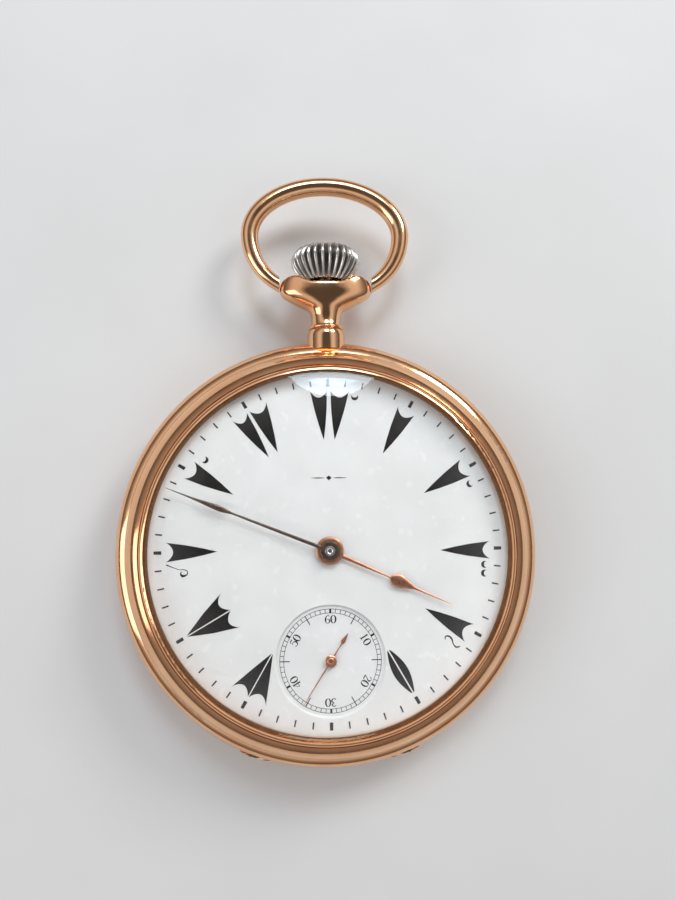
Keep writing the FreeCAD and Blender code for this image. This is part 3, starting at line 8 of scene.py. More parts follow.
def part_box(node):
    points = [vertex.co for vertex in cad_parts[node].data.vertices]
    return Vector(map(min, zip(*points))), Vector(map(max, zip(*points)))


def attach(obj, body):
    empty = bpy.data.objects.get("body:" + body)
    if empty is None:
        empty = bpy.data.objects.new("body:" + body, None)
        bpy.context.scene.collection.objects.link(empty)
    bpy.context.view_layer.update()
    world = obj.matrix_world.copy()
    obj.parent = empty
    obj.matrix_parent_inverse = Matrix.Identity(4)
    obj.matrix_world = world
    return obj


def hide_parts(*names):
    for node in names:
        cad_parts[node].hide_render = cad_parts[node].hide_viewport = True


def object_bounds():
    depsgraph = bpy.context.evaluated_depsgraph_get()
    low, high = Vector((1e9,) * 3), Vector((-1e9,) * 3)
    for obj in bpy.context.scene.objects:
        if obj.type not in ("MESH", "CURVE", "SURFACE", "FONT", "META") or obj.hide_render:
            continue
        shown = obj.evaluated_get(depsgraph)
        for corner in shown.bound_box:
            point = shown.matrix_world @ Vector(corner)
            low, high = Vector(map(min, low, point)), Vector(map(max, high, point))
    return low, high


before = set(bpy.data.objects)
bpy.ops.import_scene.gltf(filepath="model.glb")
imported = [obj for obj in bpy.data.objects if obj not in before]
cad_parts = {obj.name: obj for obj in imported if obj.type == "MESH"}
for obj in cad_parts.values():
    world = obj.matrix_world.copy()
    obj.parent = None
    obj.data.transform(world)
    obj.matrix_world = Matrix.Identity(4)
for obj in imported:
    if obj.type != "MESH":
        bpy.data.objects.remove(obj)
CAD_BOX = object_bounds()

# Open-face pocket watch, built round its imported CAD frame. Shapes are worked out in
# millimetres, as in the CAD, and turned into metres when a mesh is made.
MM = 0.001


def box_mm(node):
    """A CAD node's lowest and highest corners, in millimetres."""
    low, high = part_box(node)
    return low / MM, high / MM


DIAL_TOP = box_mm("dial")[1].z
SECONDS_LOW, SECONDS_HIGH = box_mm("seconds_dial")
SECONDS_AT = ((SECONDS_LOW.x + SECONDS_HIGH.x) / 2, (SECONDS_LOW.y + SECONDS_HIGH.y) / 2)
SECONDS_TOP = SECONDS_HIGH.z
SECONDS_RADIUS = (SECONDS_HIGH.x - SECONDS_LOW.x) / 2
CROWN_LOW, CROWN_HIGH = box_mm("crown")
STEM_HEIGHT = (CROWN_LOW.z + CROWN_HIGH.z) / 2
HEAD_HALF = box_mm("pendant")[1].x
BOW_HALF = box_mm("bow")[1].x
BOW_TOP = box_mm("bow")[1].y
HEAD_TOP = box_mm("pendant")[1].y
CROWN_SEAT = HEAD_TOP - 0.65
PIVOT = HEAD_TOP - 0.7


# ---- meshes -------------------------------------------------------------------------


class Solid:
    """Points and faces of one piece, in millimetres."""

    def __init__(self):
        self.points, self.faces = [], []

    def add(self, points, faces):
        """More points, and faces numbered from the first of them."""
        first = len(self.points)
        self.points += [Vector(p) for p in points]
        self.faces += [[first + k for k in face] for face in faces]

    def prism(self, outline, low, high):
        """A flat shape given edge to edge."""
        count = len(outline)
        points = [(x, y, z) for z in (low, high) for x, y in outline]
        sides = [(k, (k + 1) % count, count + (k + 1) % count, count + k)
                 for k in range(count)]
        self.add(points, [list(range(count))[::-1], list(range(count, 2 * count)), *sides])

    def rings(self, rings, closed=False):
        """A skin over rings with the same number of points each."""
        count, total = len(rings[0]), len(rings)
        faces = [(a * count + k, a * count + (k + 1) % count,
                  b * count + (k + 1) % count, b * count + k)
                 for a in range(total if closed else total - 1)
                 for b in [(a + 1) % total] for k in range(count)]
        if not closed:
            faces += [list(range(count))[::-1],
                      list(range((total - 1) * count, total * count))]
        self.add([p for ring in rings for p in ring], faces)

    def lathe(self, profile, at=(0, 0), steps=72):
        """A ring turned about a vertical axis from a closed profile of radius, height."""
        turns = [2 * math.pi * k / steps for k in range(steps)]
        self.rings([[(at[0] + r * math.cos(t), at[1] + r * math.sin(t), z)
                     for r, z in profile] for t in turns], closed=True)

    def build(self, name, look, body, slot=None, replaces=(), smooth=40):
        """The finished object, riding on its body."""
        mesh = bpy.data.meshes.new(name)
        work = bmesh.new()
        corners = [work.verts.new(p * MM) for p in self.points]
        for face in self.faces:
            work.faces.new([corners[k] for k in face])
        bmesh.ops.remove_doubles(work, verts=work.verts, dist=1e-8)
        wide = [face for face in work.faces if len(face.verts) > 4]
        bmesh.ops.triangulate(work, faces=wide, ngon_method="EAR_CLIP")
        bmesh.ops.recalc_face_normals(work, faces=work.faces)
        for face in work.faces:
            face.smooth = smooth > 0
        for edge in work.edges:
            edge.smooth = edge.calc_face_angle(0) < math.radians(smooth)
        work.to_mesh(mesh)
        work.free()
        piece = bpy.data.objects.new(name, mesh)
        bpy.context.scene.collection.objects.link(piece)
        mesh.materials.append(look)
        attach(piece, body)
        if replaces:
            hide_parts(*replaces)
        return piece


def smoothed(points, steps=6):
    """A Catmull-Rom line through points of any dimension."""
    out = []
    ends = [points[0], *points, points[-1]]
    for a, b, c, d in zip(ends, ends[1:], ends[2:], ends[3:]):
        for k in range(steps):
            t = k / steps
            out.append(tuple(
                0.5 * (2 * q + (r - p) * t + (2 * p - 5 * q + 4 * r - s) * t * t
                       + (3 * q - p - 3 * r + s) * t ** 3)
                for p, q, r, s in zip(a, b, c, d)))
    return [*out, tuple(points[-1])]


def ribbon(points):
    """The two edges of a stroke through (x, y, width) points, as one outline."""
    left, right = [], []
    for k, (x, y, width) in enumerate(points):
        before, after = points[max(k - 1, 0)], points[min(k + 1, len(points) - 1)]
        along = Vector((after[0] - before[0], after[1] - before[1])).normalized()
        side = Vector((-along.y, along.x)) * width / 2
        left.append((x + side.x, y + side.y))
        right.append((x - side.x, y - side.y))
    return left, right


# ---- materials ------------------------------------------------------------------------


class Look:
    """A procedural material: a Principled shader and the nodes wired to it."""

    def __init__(self, name, **values):
        self.material = bpy.data.materials.new(name)
        self.material.use_nodes = True
        self.tree = self.material.node_tree
        self.shader = self.tree.nodes["Principled BSDF"]
        self.coords = self.node("ShaderNodeTexCoord").outputs["Object"]
        for socket, value in values.items():
            self.shader.inputs[socket.replace("_", " ")].default_value = value

    def node(self, kind, links=None, **settings):
        made = self.tree.nodes.new(kind)
        for name, value in settings.items():
            setattr(made, name, value)
        for socket, value in (links or {}).items():
            if isinstance(value, bpy.types.NodeSocket):
                self.tree.links.new(value, made.inputs[socket])
            else:
                made.inputs[socket].default_value = value
        return made

    def noise(self, size, detail=4.0, stretch=None, distortion=0.0):
        """Cloudy variation with features about this many millimetres across."""
        coords = self.coords
        if stretch:
            coords = self.node("ShaderNodeMapping",
                               {"Vector": coords, "Scale": stretch}).outputs[0]
        return self.node("ShaderNodeTexNoise", {
            "Vector": coords, "Scale": 1 / (size * MM), "Detail": detail,
            "Distortion": distortion}).outputs["Fac"]

    def ramp(self, source, *stops):
        """A colour ramp with stops of place and colour or grey."""
        made = self.node("ShaderNodeValToRGB", {"Fac": source})
        ends = made.color_ramp.elements
        while len(ends) < len(stops):
            ends.new(0.5)
        for element, (place, shade) in zip(ends, stops):
            element.position = place
            element.color = (*shade, 1) if isinstance(shade, tuple) else (shade,) * 3 + (1,)
        return made.outputs["Color"]

    def mix(self, share, first, second, blend="MIX"):
        made = self.node("ShaderNodeMix", data_type="RGBA", blend_type=blend)
        for socket, value in ((0, share), (6, first), (7, second)):
            if isinstance(value, bpy.types.NodeSocket):
                self.tree.links.new(value, made.inputs[socket])
            else:
                made.inputs[socket].default_value = (
                    (*value, 1) if isinstance(value, tuple) else value)
        return made.outputs[2]

    def hollow(self, reach):
        """Dark where something stands within this many millimetres, light in the open."""
        return self.node("ShaderNodeAmbientOcclusion",
                         {"Distance": reach * MM}, samples=6, only_local=True).outputs["AO"]

    def edges(self):
        """Light on ridges, dark in creases."""
        return self.node("ShaderNodeNewGeometry").outputs["Pointiness"]

    def set(self, socket, source):
        """Feeds one of the shader's sockets from a node."""
        self.tree.links.new(source, self.shader.inputs[socket])

    def bump(self, source, strength, depth):
        """Relief of this many millimetres, on top of any relief already there."""
        before = self.shader.inputs["Normal"].links
        made = self.node("ShaderNodeBump", {
            "Height": source, "Strength": strength, "Distance": depth * MM})
        if before:
            self.tree.links.new(before[0].from_socket, made.inputs["Normal"])
        self.set("Normal", made.outputs[0])


def metal(name, light, dark, grime, rough=(0.12, 0.26), patch=6.0, scratch=0.35, relief=0.004,
          reach=0.5):
    """Handled metal: patches of tone, tarnish in the hollows, bright edges, fine scratches."""
    look = Look(name, Metallic=1.0)
    tone = look.ramp(look.noise(patch), (0.3, dark), (0.7, light))
    # Ridges are lifted towards the light tone, by how sharp they are.
    ridge_lightening = look.ramp(look.edges(), (0.5, 0.0), (0.62, 1.0))
    tone = look.mix(ridge_lightening, tone, light)
    dirt = look.ramp(look.hollow(reach), (0.25, 1.0), (0.8, 0.0))
    tone = look.mix(dirt, tone, grime)
    look.set("Base Color", tone)
    cloud = look.ramp(look.noise(patch * 0.4, 6.0), (0.3, rough[0]), (0.75, rough[1]))
    look.set("Roughness", look.mix(dirt, cloud, (0.5, 0.5, 0.5)))
    look.bump(look.noise(scratch, 3.0, stretch=(1, 0.12, 1), distortion=0.6), 0.25, relief)
    look.bump(look.noise(scratch * 9, 2.0), 0.2, relief * 3)
    return look


def rose_gold():
    """The case's polished red gold."""
    return metal("rose_gold", (0.95, 0.57, 0.32), (0.86, 0.45, 0.23), (0.42, 0.17, 0.08),
                 rough=(0.08, 0.18), relief=0.003, reach=0.16)


def crown_steel():
    """Worn plating with black dirt between the ribs."""
    return metal("worn_steel", (0.80, 0.77, 0.73), (0.52, 0.49, 0.46), (0.025, 0.02, 0.018),
                 rough=(0.14, 0.34), patch=1.6, relief=0.012, reach=0.9)


def enamel(name, light, dark, rings=False):
    """Fired enamel: clouds, specks and a wavy gloss, and turned rings in the sunk dial."""
    look = Look(name, Coat_Weight=0.5, Coat_Roughness=0.06, Specular_IOR_Level=0.5,
                Subsurface_Weight=0.06, Subsurface_Radius=(MM, MM, MM),
                Subsurface_Scale=0.4)
    cloud = look.ramp(look.noise(5.0, 5.0), (0.35, dark), (0.65, light))
    specks = look.ramp(look.noise(0.25, 1.0), (0.77, 0.0), (0.80, 1.0))
    look.set("Base Color", look.mix(specks, cloud, (0.62, 0.57, 0.50)))
    look.set("Roughness", look.ramp(look.noise(1.5), (0.3, 0.16), (0.7, 0.30)))
    look.bump(look.noise(2.5, 3.0), 0.25, 0.02)
    if rings:
        x, y = SECONDS_AT
        centred = look.node("ShaderNodeMapping", {
            "Vector": look.coords, "Location": (-x * MM, -y * MM, 0)}).outputs[0]
        wave = look.node("ShaderNodeTexWave", {
            "Vector": centred, "Scale": 2600.0}, wave_type="RINGS",
            rings_direction="SPHERICAL").outputs["Fac"]
        look.bump(wave, 0.12, 0.003)
    return look


def ink():
    """Dial ink, black with a brown cast, a little thin in places."""
    look = Look("dial_ink", Specular_IOR_Level=0.12)
    look.set("Base Color", look.ramp(look.noise(1.2, 4.0), (0.3, (0.004, 0.0035, 0.003)),
                                     (0.75, (0.016, 0.012, 0.010))))
    look.set("Roughness", look.ramp(look.noise(0.6), (0.3, 0.45), (0.7, 0.65)))
    look.bump(look.noise(0.3), 0.3, 0.004)
    return look


def glass():
    """Clear glass with faint smears; lamps shine through it."""
    look = Look("watch_glass", Transmission_Weight=1.0, IOR=1.5)
    look.set("Base Color", look.ramp(look.noise(9.0), (0.3, (0.985, 0.99, 0.99)),
                                     (0.7, (1.0, 1.0, 1.0))))
    look.set("Roughness", look.ramp(look.noise(4.0, 6.0), (0.55, 0.0), (0.85, 0.03)))
    look.bump(look.noise(7.0, 1.0), 0.05, 0.01)
    tree = look.tree
    clear = look.node("ShaderNodeBsdfTransparent")
    path = look.node("ShaderNodeLightPath")
    mixed = look.node("ShaderNodeMixShader")
    tree.links.new(path.outputs["Is Shadow Ray"], mixed.inputs[0])
    tree.links.new(look.shader.outputs[0], mixed.inputs[1])
    tree.links.new(clear.outputs[0], mixed.inputs[2])
    tree.links.new(mixed.outputs[0], tree.nodes["Material Output"].inputs["Surface"])
    return look


def striped_nickel():
    """Bridge plate: nickel with broad rippled stripes."""
    look = metal("striped_nickel", (0.76, 0.74, 0.70), (0.66, 0.64, 0.60),
                 (0.14, 0.11, 0.08), rough=(0.16, 0.3), patch=3.0)
    turned = look.node("ShaderNodeMapping", {
        "Vector": look.coords, "Rotation": (0, 0, math.radians(35))}).outputs[0]
    wave = look.node("ShaderNodeTexWave", {
        "Vector": turned, "Scale": 220.0}, wave_profile="SIN").outputs["Fac"]
    look.bump(wave, 0.5, 0.05)
    return look


def ruby():
    """Synthetic ruby, for the bearings and pallets."""
    look = Look("ruby", Transmission_Weight=0.35, IOR=1.76, Coat_Weight=0.6)
    look.set("Base Color", look.ramp(look.noise(0.4), (0.3, (0.45, 0.01, 0.06)),
                                     (0.7, (0.72, 0.03, 0.12))))
    look.set("Roughness", look.ramp(look.noise(0.3), (0.3, 0.04), (0.7, 0.14)))
    look.bump(look.noise(0.2), 0.1, 0.002)
    return look


LOOKS = {
    "rose_gold": rose_gold(),
    "crystal_glass": glass(),
    "crown_steel": crown_steel(),
    "gilt_plate": metal("gilt_plate", (0.88, 0.66, 0.34), (0.78, 0.55, 0.27),
                        (0.25, 0.13, 0.05), rough=(0.28, 0.42), patch=2.0),
    "nickel_bridge": striped_nickel(),
    "screw_blue": metal("screw_blue", (0.12, 0.18, 0.55), (0.07, 0.09, 0.34),
                        (0.02, 0.02, 0.05), rough=(0.1, 0.22), patch=0.6),
    "steel_part": metal("steel_part", (0.64, 0.63, 0.62), (0.52, 0.51, 0.50),
                        (0.08, 0.07, 0.06), rough=(0.14, 0.3), patch=1.2),
    "train_brass": metal("train_brass", (0.86, 0.64, 0.30), (0.74, 0.53, 0.24),
                         (0.20, 0.11, 0.04), rough=(0.18, 0.32), patch=1.2),
    "jewel_ruby": ruby(),
    "enamel": enamel("dial_enamel", (0.76, 0.745, 0.725), (0.72, 0.705, 0.685)),
    "copper_foot": metal("copper_foot", (0.85, 0.46, 0.30), (0.70, 0.34, 0.20),
                         (0.20, 0.07, 0.04), rough=(0.25, 0.4), patch=0.8),
    "hand_gold": metal("hand_gold", (0.64, 0.30, 0.18), (0.46, 0.20, 0.12),
                       (0.16, 0.06, 0.04), rough=(0.26, 0.42), patch=0.7, reach=0.25),
    "spring_blue": metal("spring_blue", (0.10, 0.16, 0.50), (0.06, 0.08, 0.30),
                         (0.02, 0.02, 0.05), rough=(0.1, 0.24), patch=0.6),
}
SECONDS_ENAMEL = enamel("seconds_enamel", (0.76, 0.745, 0.73), (0.72, 0.705, 0.69),
                        rings=True)
INK = ink()
HAND_BROWN = metal("minute_hand_brown", (0.20, 0.14, 0.11), (0.10, 0.07, 0.055),
                   (0.05, 0.03, 0.02), rough=(0.26, 0.42), patch=0.8, reach=0.2)
BRIGHT_STEEL = metal("bright_steel", (0.85, 0.84, 0.82), (0.70, 0.69, 0.67),
                     (0.10, 0.08, 0.07), rough=(0.1, 0.2), patch=0.8, reach=0.2)

# Every CAD piece wears the look of its slot.
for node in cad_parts.values():
    for place in node.material_slots:
        place.material = LOOKS[place.material.name.split(".")[0]].material
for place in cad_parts["seconds_dial"].material_slots:
    place.material = SECONDS_ENAMEL.material


# ---- crown ------------------------------------------------------------------------------


def make_crown():
    """The ribbed crown, a pumpkin of rounded ribs with deep grooves between them."""
    ribs, per_rib = 28, 14
    wide = CROWN_HIGH.x
    tall = CROWN_HIGH.y - CROWN_SEAT
    # Radius, share of the height, depth of the grooves.
    shape = smoothed([(r, h * tall, d) for r, h, d in (
        (1.3, 0.0, 0.0), (2.5, 0.01, 0.0), (2.95, 0.05, 0.35), (3.6, 0.2, 0.6),
        (4.15, 0.37, 0.7), (wide - 0.02, 0.56, 0.72), (wide - 0.12, 0.72, 0.7),
        (wide - 0.5, 0.85, 0.6), (wide - 1.0, 0.93, 0.42), (3.0, 0.965, 0.15),
        (2.7, 0.97, 0.0), (1.8, 0.98, 0.0), (0.6, 0.997, 0.0), (0.02, 1.0, 0.0))], 5)
    tube, foot = 1.2, CROWN_LOW.y - CROWN_SEAT
    inner = [(tube / 2, foot, 0), (tube, foot, 0), (tube, 0, 0)]
    rings = []
    for radius, height, depth in [*inner, *shape]:
        ring = []
        for k in range(ribs * per_rib):
            turn = 2 * math.pi * k / (ribs * per_rib)
            groove = (0.5 + 0.5 * math.cos(ribs * turn)) ** 1.3
            reach = radius - depth * groove
            ring.append((reach * math.cos(turn), CROWN_SEAT + height,
                         STEM_HEIGHT + reach * math.sin(turn)))
        rings.append(ring)
    solid = Solid()
    solid.rings(rings)
    return solid.build("crown_ribbed", LOOKS["crown_steel"].material, "stem",
                       "crown_steel", ["crown"], smooth=60)


# ---- bow, glass and pendant -------------------------------------------------------------


def make_bow():
    """The bow's wire, thinner where it meets the pendant, with its two pegs.

    The line is half an ellipse over the top and an arc a side below the waist.
    """
    wire, slim, peg, sides, peg_sides = 1.18, 0.90, 0.45, 40, 20
    half = BOW_HALF - wire
    rise = BOW_TOP - wire - PIVOT
    waist = 6.6
    narrow = half - HEAD_HALF - 0.15
    lower = (narrow ** 2 + waist ** 2) / (2 * narrow)
    last = math.asin(waist / lower) + 0.2
    quarter, legs = 44, 32
    right = [(half * math.sin(math.pi / 2 * k / quarter),
              waist + (rise - waist) * math.cos(math.pi / 2 * k / quarter))
             for k in range(quarter)]
    right += [(half - lower + lower * math.cos(last * k / legs),
               waist - lower * math.sin(last * k / legs)) for k in range(legs + 1)]
    wall, arm = HEAD_HALF + 0.05, []
    for k, (x, y) in enumerate(right):
        before, after = right[max(k - 1, 0)], right[min(k + 1, len(right) - 1)]
        along = Vector((after[0] - before[0], after[1] - before[1])).normalized()
        full = max(0.0, min(1.0, y / (0.7 * rise)))
        radius = slim + (wire - slim) * math.sin(full * math.pi / 2)
        ring = [(x - along.y * radius * math.cos(t), y + along.x * radius * math.cos(t),
                 STEM_HEIGHT + radius * math.sin(t))
                for t in (2 * math.pi * n / sides for n in range(sides))]
        if y < waist and min(p[0] for p in ring) < wall:
            # The wire ends flat, facing the pendant's side.
            arm.append([(wall, p[1] + along.y * (wall - p[0]) / along.x, p[2])
                        for p in arm[-1]])
            break
        arm.append(ring)
    arm = [[(x, PIVOT + y, z) for x, y, z in ring] for ring in arm]
    rings = [[(-x, y, z) for x, y, z in ring] for ring in arm[::-1]] + arm[1:]
    solid = Solid()
    solid.rings(rings)
    for hand in (-1, 1):
        solid.rings([[(hand * x, PIVOT + peg * math.cos(2 * math.pi * n / peg_sides),
                       STEM_HEIGHT + peg * math.sin(2 * math.pi * n / peg_sides))
                      for n in range(peg_sides)]
                     for x in (HEAD_HALF + 0.01, HEAD_HALF + 0.5)])
    return solid.build("bow_wire", LOOKS["rose_gold"].material, "bow", "rose_gold", ["bow"],
                       smooth=50)


def make_crystal():
    """The watch glass, held just clear of its groove so that the gold shows through."""
    (low, high), gap, steps = box_mm("crystal"), 0.03, 40
    rim, seat, wall = high.x - gap, low.z + gap, 0.75
    step, dome, inner_dome, axis = seat + 0.5, rim - 0.2, rim - 0.6, 0.001
    outside = [(dome * k / steps, high.z - (high.z - step) * (k / steps) ** 2)
               for k in range(steps + 1)]
    inside = [(inner_dome * k / steps,
               high.z - wall - (high.z - wall - seat) * (k / steps) ** 2)
              for k in range(steps, -1, -1)]
    solid = Solid()
    solid.lathe([(max(r, axis), z) for r, z in [*outside, (rim, step - 0.05), (rim, seat),
                                                 *inside]], steps=144)
    return solid.build("crystal_dome", LOOKS["crystal_glass"].material, "bezel_ring",
                       "crystal_glass", ["crystal"], smooth=30)


def make_pendant():
    """The neck with its collar and bead, opening into the boat-shaped head."""
    lowest, highest = box_mm("pendant")
    low, deep = lowest.y - HEAD_TOP, (highest.z - lowest.z) / 2
    crown_bore, stem_bore, bore_step, sides = 1.3, 0.78, -2.1, 96

    def saddle(x):
        """The drop of the head's upper edge below its two shoulders, 0 or less."""
        x, flat, shoulder, dip, end_dip = abs(x), 1.6, 4.4, 0.95, 0.65
        if x > shoulder:
            return -end_dip * ((x - shoulder) / (HEAD_HALF - shoulder)) ** 1.6
        return -dip / 2 * (1 + math.cos(math.pi * max(0.0, x - flat) / (shoulder - flat)))

    # Height below the shoulders, half width, half depth, share of the saddle's drop.
    outside = smoothed([(y, a, b, drop) for y, a, b, drop in (
        (low, 2.40, 2.40, 0), (-8.0, 2.42, 2.42, 0), (-7.5, 2.38, 2.38, 0),
        (-7.1, 2.24, 2.24, 0), (-6.98, 2.06, 2.06, 0), (-6.88, 2.24, 2.24, 0),
        (-6.74, 2.30, 2.30, 0), (-6.60, 2.22, 2.22, 0), (-6.50, 2.02, 2.02, 0),
        (-5.9, 1.90, 1.90, 0), (-5.2, 1.92, 1.92, 0), (-4.6, 2.12, 2.06, 0),
        (-4.15, 2.55, 2.2, 0), (-3.75, 3.35, 2.32, 0), (-3.3, 4.3, 2.42, 0),
        (-2.9, 5.05, 2.5, 0), (-2.45, 5.65, 2.56, 0.02), (-1.9, 5.94, deep, 0.15),
        (-1.2, 5.99, deep, 0.45), (-0.5, 5.92, deep - 0.02, 0.8),
        (-0.14, 5.8, deep - 0.1, 0.95), (0.0, 5.55, deep - 0.28, 1.0),
        (-0.02, 4.9, deep - 0.55, 1.0), (-0.05, 3.2, 1.7, 1.0))], 4)
    inside = [(0.0, crown_bore, crown_bore, 1.0), (bore_step, crown_bore, crown_bore, 0),
              (bore_step, stem_bore, stem_bore, 0), (low, stem_bore, stem_bore, 0)]
    rings = []
    for y, a, b, drop in [*outside, *inside]:
        ring = []
        for n in range(sides):
            turn = 2 * math.pi * n / sides
            x = a * math.cos(turn)
            ring.append((x, HEAD_TOP + y + drop * saddle(x),
                         STEM_HEIGHT + b * math.sin(turn)))
        rings.append(ring)
    solid = Solid()
    solid.rings(rings, closed=True)
    return solid.build("pendant_head", LOOKS["rose_gold"].material, "case", "rose_gold",
                       ["pendant"], smooth=50)


# ---- hands ------------------------------------------------------------------------------

# The time that the hands show at rest.
SHOWN_MINUTE, SHOWN_HOUR, SHOWN_SECOND = 48.6, 3, 35.5
MINUTE_TURN = SHOWN_MINUTE / 60
HOUR_TURN = (SHOWN_HOUR + MINUTE_TURN) / 12
SECOND_TURN = SHOWN_SECOND / 60


def blade(solid, stations, low, turn, at=(0, 0)):
    """A hand's blade with a rounded back, from (distance, half width, thickness) stations."""
    angle = 2 * math.pi * turn
    along, side = (math.sin(angle), math.cos(angle)), (math.cos(angle), -math.sin(angle))
    rings = []
    arch, least_half, least_thick = 8, 0.015, 0.03
    for reach, half, thick in smoothed(stations, 5):
        ring = []
        half, thick = max(half, least_half), max(thick, least_thick)
        section = [(half * math.cos(math.pi * k / arch),
                    0.35 * thick + 0.65 * thick * math.sin(math.pi * k / arch))
                   for k in range(arch + 1)]
        for s, z in [(half, 0), *section, (-half, 0)]:
            ring.append((at[0] + along[0] * reach + side[0] * s,
                         at[1] + along[1] * reach + side[1] * s, low + z))
        rings.append(ring)
    solid.rings(rings)


def make_hands():
    """The three hands, with turned bosses."""
    low = box_mm("hour_hand")[0].z
    reach = 16.2
    hour = Solid()
    blade(hour, [(1.45, 0.24, 0.16), (3.5, 0.21, 0.15), (6.5, 0.13, 0.14),
                 (7.85, 0.11, 0.13), (8.0, 0.30, 0.14), (8.35, 0.60, 0.17),
                 (8.9, 0.76, 0.2), (9.4, 0.72, 0.2), (10.1, 0.50, 0.18), (10.9, 0.26, 0.15),
                 (11.5, 0.15, 0.13), (13.5, 0.10, 0.11), (reach, 0.03, 0.08)],
          low + 0.05, HOUR_TURN)
    hour.lathe([(1.25, low), (1.62, low), (1.68, low + 0.07), (1.68, low + 0.2),
                (1.62, low + 0.3), (1.5, low + 0.35), (1.25, low + 0.35)])
    hour.build("hour_hand_pear", LOOKS["hand_gold"].material, "hour_work", "hand_gold",
               ["hour_hand"])
    low = box_mm("minute_hand")[0].z
    reach = 21.0
    minute = Solid()
    blade(minute, [(1.0, 0.22, 0.14), (5.0, 0.20, 0.13), (10.5, 0.15, 0.12),
                   (12.3, 0.13, 0.12), (12.9, 0.20, 0.13), (13.6, 0.31, 0.15),
                   (14.3, 0.34, 0.16), (15.3, 0.29, 0.15), (16.8, 0.17, 0.12),
                   (18.5, 0.1, 0.1), (reach, 0.03, 0.07)], low + 0.03, MINUTE_TURN)
    minute.build("minute_hand_blade", HAND_BROWN.material, "centre", "hand_gold",
                 ["minute_hand"])
    boss = Solid()
    boss.lathe([(0.6, low), (1.1, low), (1.15, low + 0.06), (1.15, low + 0.24),
                (1.08, low + 0.34), (0.92, low + 0.38), (0.74, low + 0.32),
                (0.6, low + 0.32)])
    boss.build("minute_hand_boss", HAND_BROWN.material, "centre", "hand_gold")
    cannon = Solid()
    tip = box_mm("cannon_pinion")[1].z
    cannon.lathe([(0.22, tip - 0.1), (0.59, tip - 0.1), (0.59, tip + 0.02),
                  (0.52, tip + 0.08), (0.34, tip + 0.08), (0.22, tip - 0.02)], steps=48)
    cannon.build("cannon_tip_ring", BRIGHT_STEEL.material, "centre", "steel_part")
    low = box_mm("seconds_hand")[0].z
    seconds = Solid()
    top = low + 0.27
    blade(seconds, [(-3.85, 0.02, 0.07), (-3.4, 0.13, 0.1), (-2.8, 0.27, 0.11),
                    (-2.5, 0.20, 0.11), (-2.35, 0.07, 0.1), (-0.9, 0.075, 0.1),
                    (2.0, 0.07, 0.1), (4.5, 0.05, 0.09), (6.0, 0.03, 0.07)],
          top, SECOND_TURN, SECONDS_AT)
    seconds.lathe([(0.02, low), (0.42, low), (0.42, low + 0.24), (0.66, low + 0.24),
                   (0.72, low + 0.28), (0.72, low + 0.36), (0.60, low + 0.42),
                   (0.44, low + 0.38), (0.36, low + 0.44), (0.2, low + 0.46),
                   (0.14, low + 0.40), (0.02, low + 0.40)], SECONDS_AT, 56)
    seconds.build("seconds_hand_arrow", LOOKS["hand_gold"].material, "fourth", "hand_gold",
                  ["seconds_hand"])


# ---- dial printing ------------------------------------------------------------------------

PRINT_RAISE, PRINT_SINK = 0.012, 0.01
MARK_INNER, MARK_OUTER = 13.4, 19.5
TICK_RADIUS, ORNAMENT_RADIUS = 20.5, 8.75


def on_dial(turn, at=(0, 0)):
    """Turns a place (radius, sideways) at a share of a turn from 12 into x, y."""
    angle = 2 * math.pi * turn
    along, side = (math.sin(angle), math.cos(angle)), (math.cos(angle), -math.sin(angle))
    return lambda r, s: (at[0] + along[0] * r + side[0] * s,
                         at[1] + along[1] * r + side[1] * s)


def scallop(first, second, depth, steps=14):
    """A hollow edge from one corner to the next, dipping by depth."""
    a, b = Vector(first), Vector(second)
    chord = b - a
    inward = Vector((-chord.y, chord.x)).normalized()
    return [tuple(a + chord * t + inward * depth * math.sin(math.pi * t) ** 0.8)
            for t in (k / steps for k in range(steps + 1))]


class Print:
    """Ink on a dial: flat shapes that start in the enamel and stand just proud of it."""

    def __init__(self, top):
        self.solid, self.top = Solid(), top

    def patch(self, outline, place):
        """A filled shape, from its corners as radius and sideways."""
        self.solid.prism([place(r, s) for r, s in outline], self.top - PRINT_SINK,
                         self.top + PRINT_RAISE)

    def stroke(self, points, place, soft=5):
        """A pen stroke through (radius, sideways, width) points."""
        line = smoothed(points, soft) if len(points) > 2 else points
        left, right = ribbon(line)
        low, high = self.top - PRINT_SINK, self.top + PRINT_RAISE
        rings = [[(*place(*a), z) for a, z in ((p, low), (q, low), (q, high), (p, high))]
                 for p, q in zip(left, right)]
        self.solid.rings(rings)


def dart(ink_on, hour, tip, left, right, depth=0.85):
    """A dart that points at the dial's middle, hollowed at its outer end."""
    low, high, full = MARK_INNER, MARK_OUTER, 0.12
    sides = [(low + (high - low) * share, tip + (edge - tip) * share + math.copysign(
        full * math.sin(math.pi * share), edge - tip))
        for share, edge in ((0.6, right), (0.3, right), (0.0, tip), (0.3, left), (0.6, left))]
    ink_on.patch([*sides, *scallop((high, left), (high, right), depth)], on_dial(hour / 12))


def crescent(ink_on, hour, r, s, size=0.38, facing=0.0):
    """A small horned moon beside a dart."""
    points = []
    for k in range(9):
        angle = facing + math.radians(200) * (k / 8 - 0.5)
        points.append((r - size * math.cos(angle), s + size * math.sin(angle),
                       0.05 + 0.32 * math.cos(math.pi * (k / 8 - 0.5)) ** 1.3))
    ink_on.stroke(points, on_dial(hour / 12))


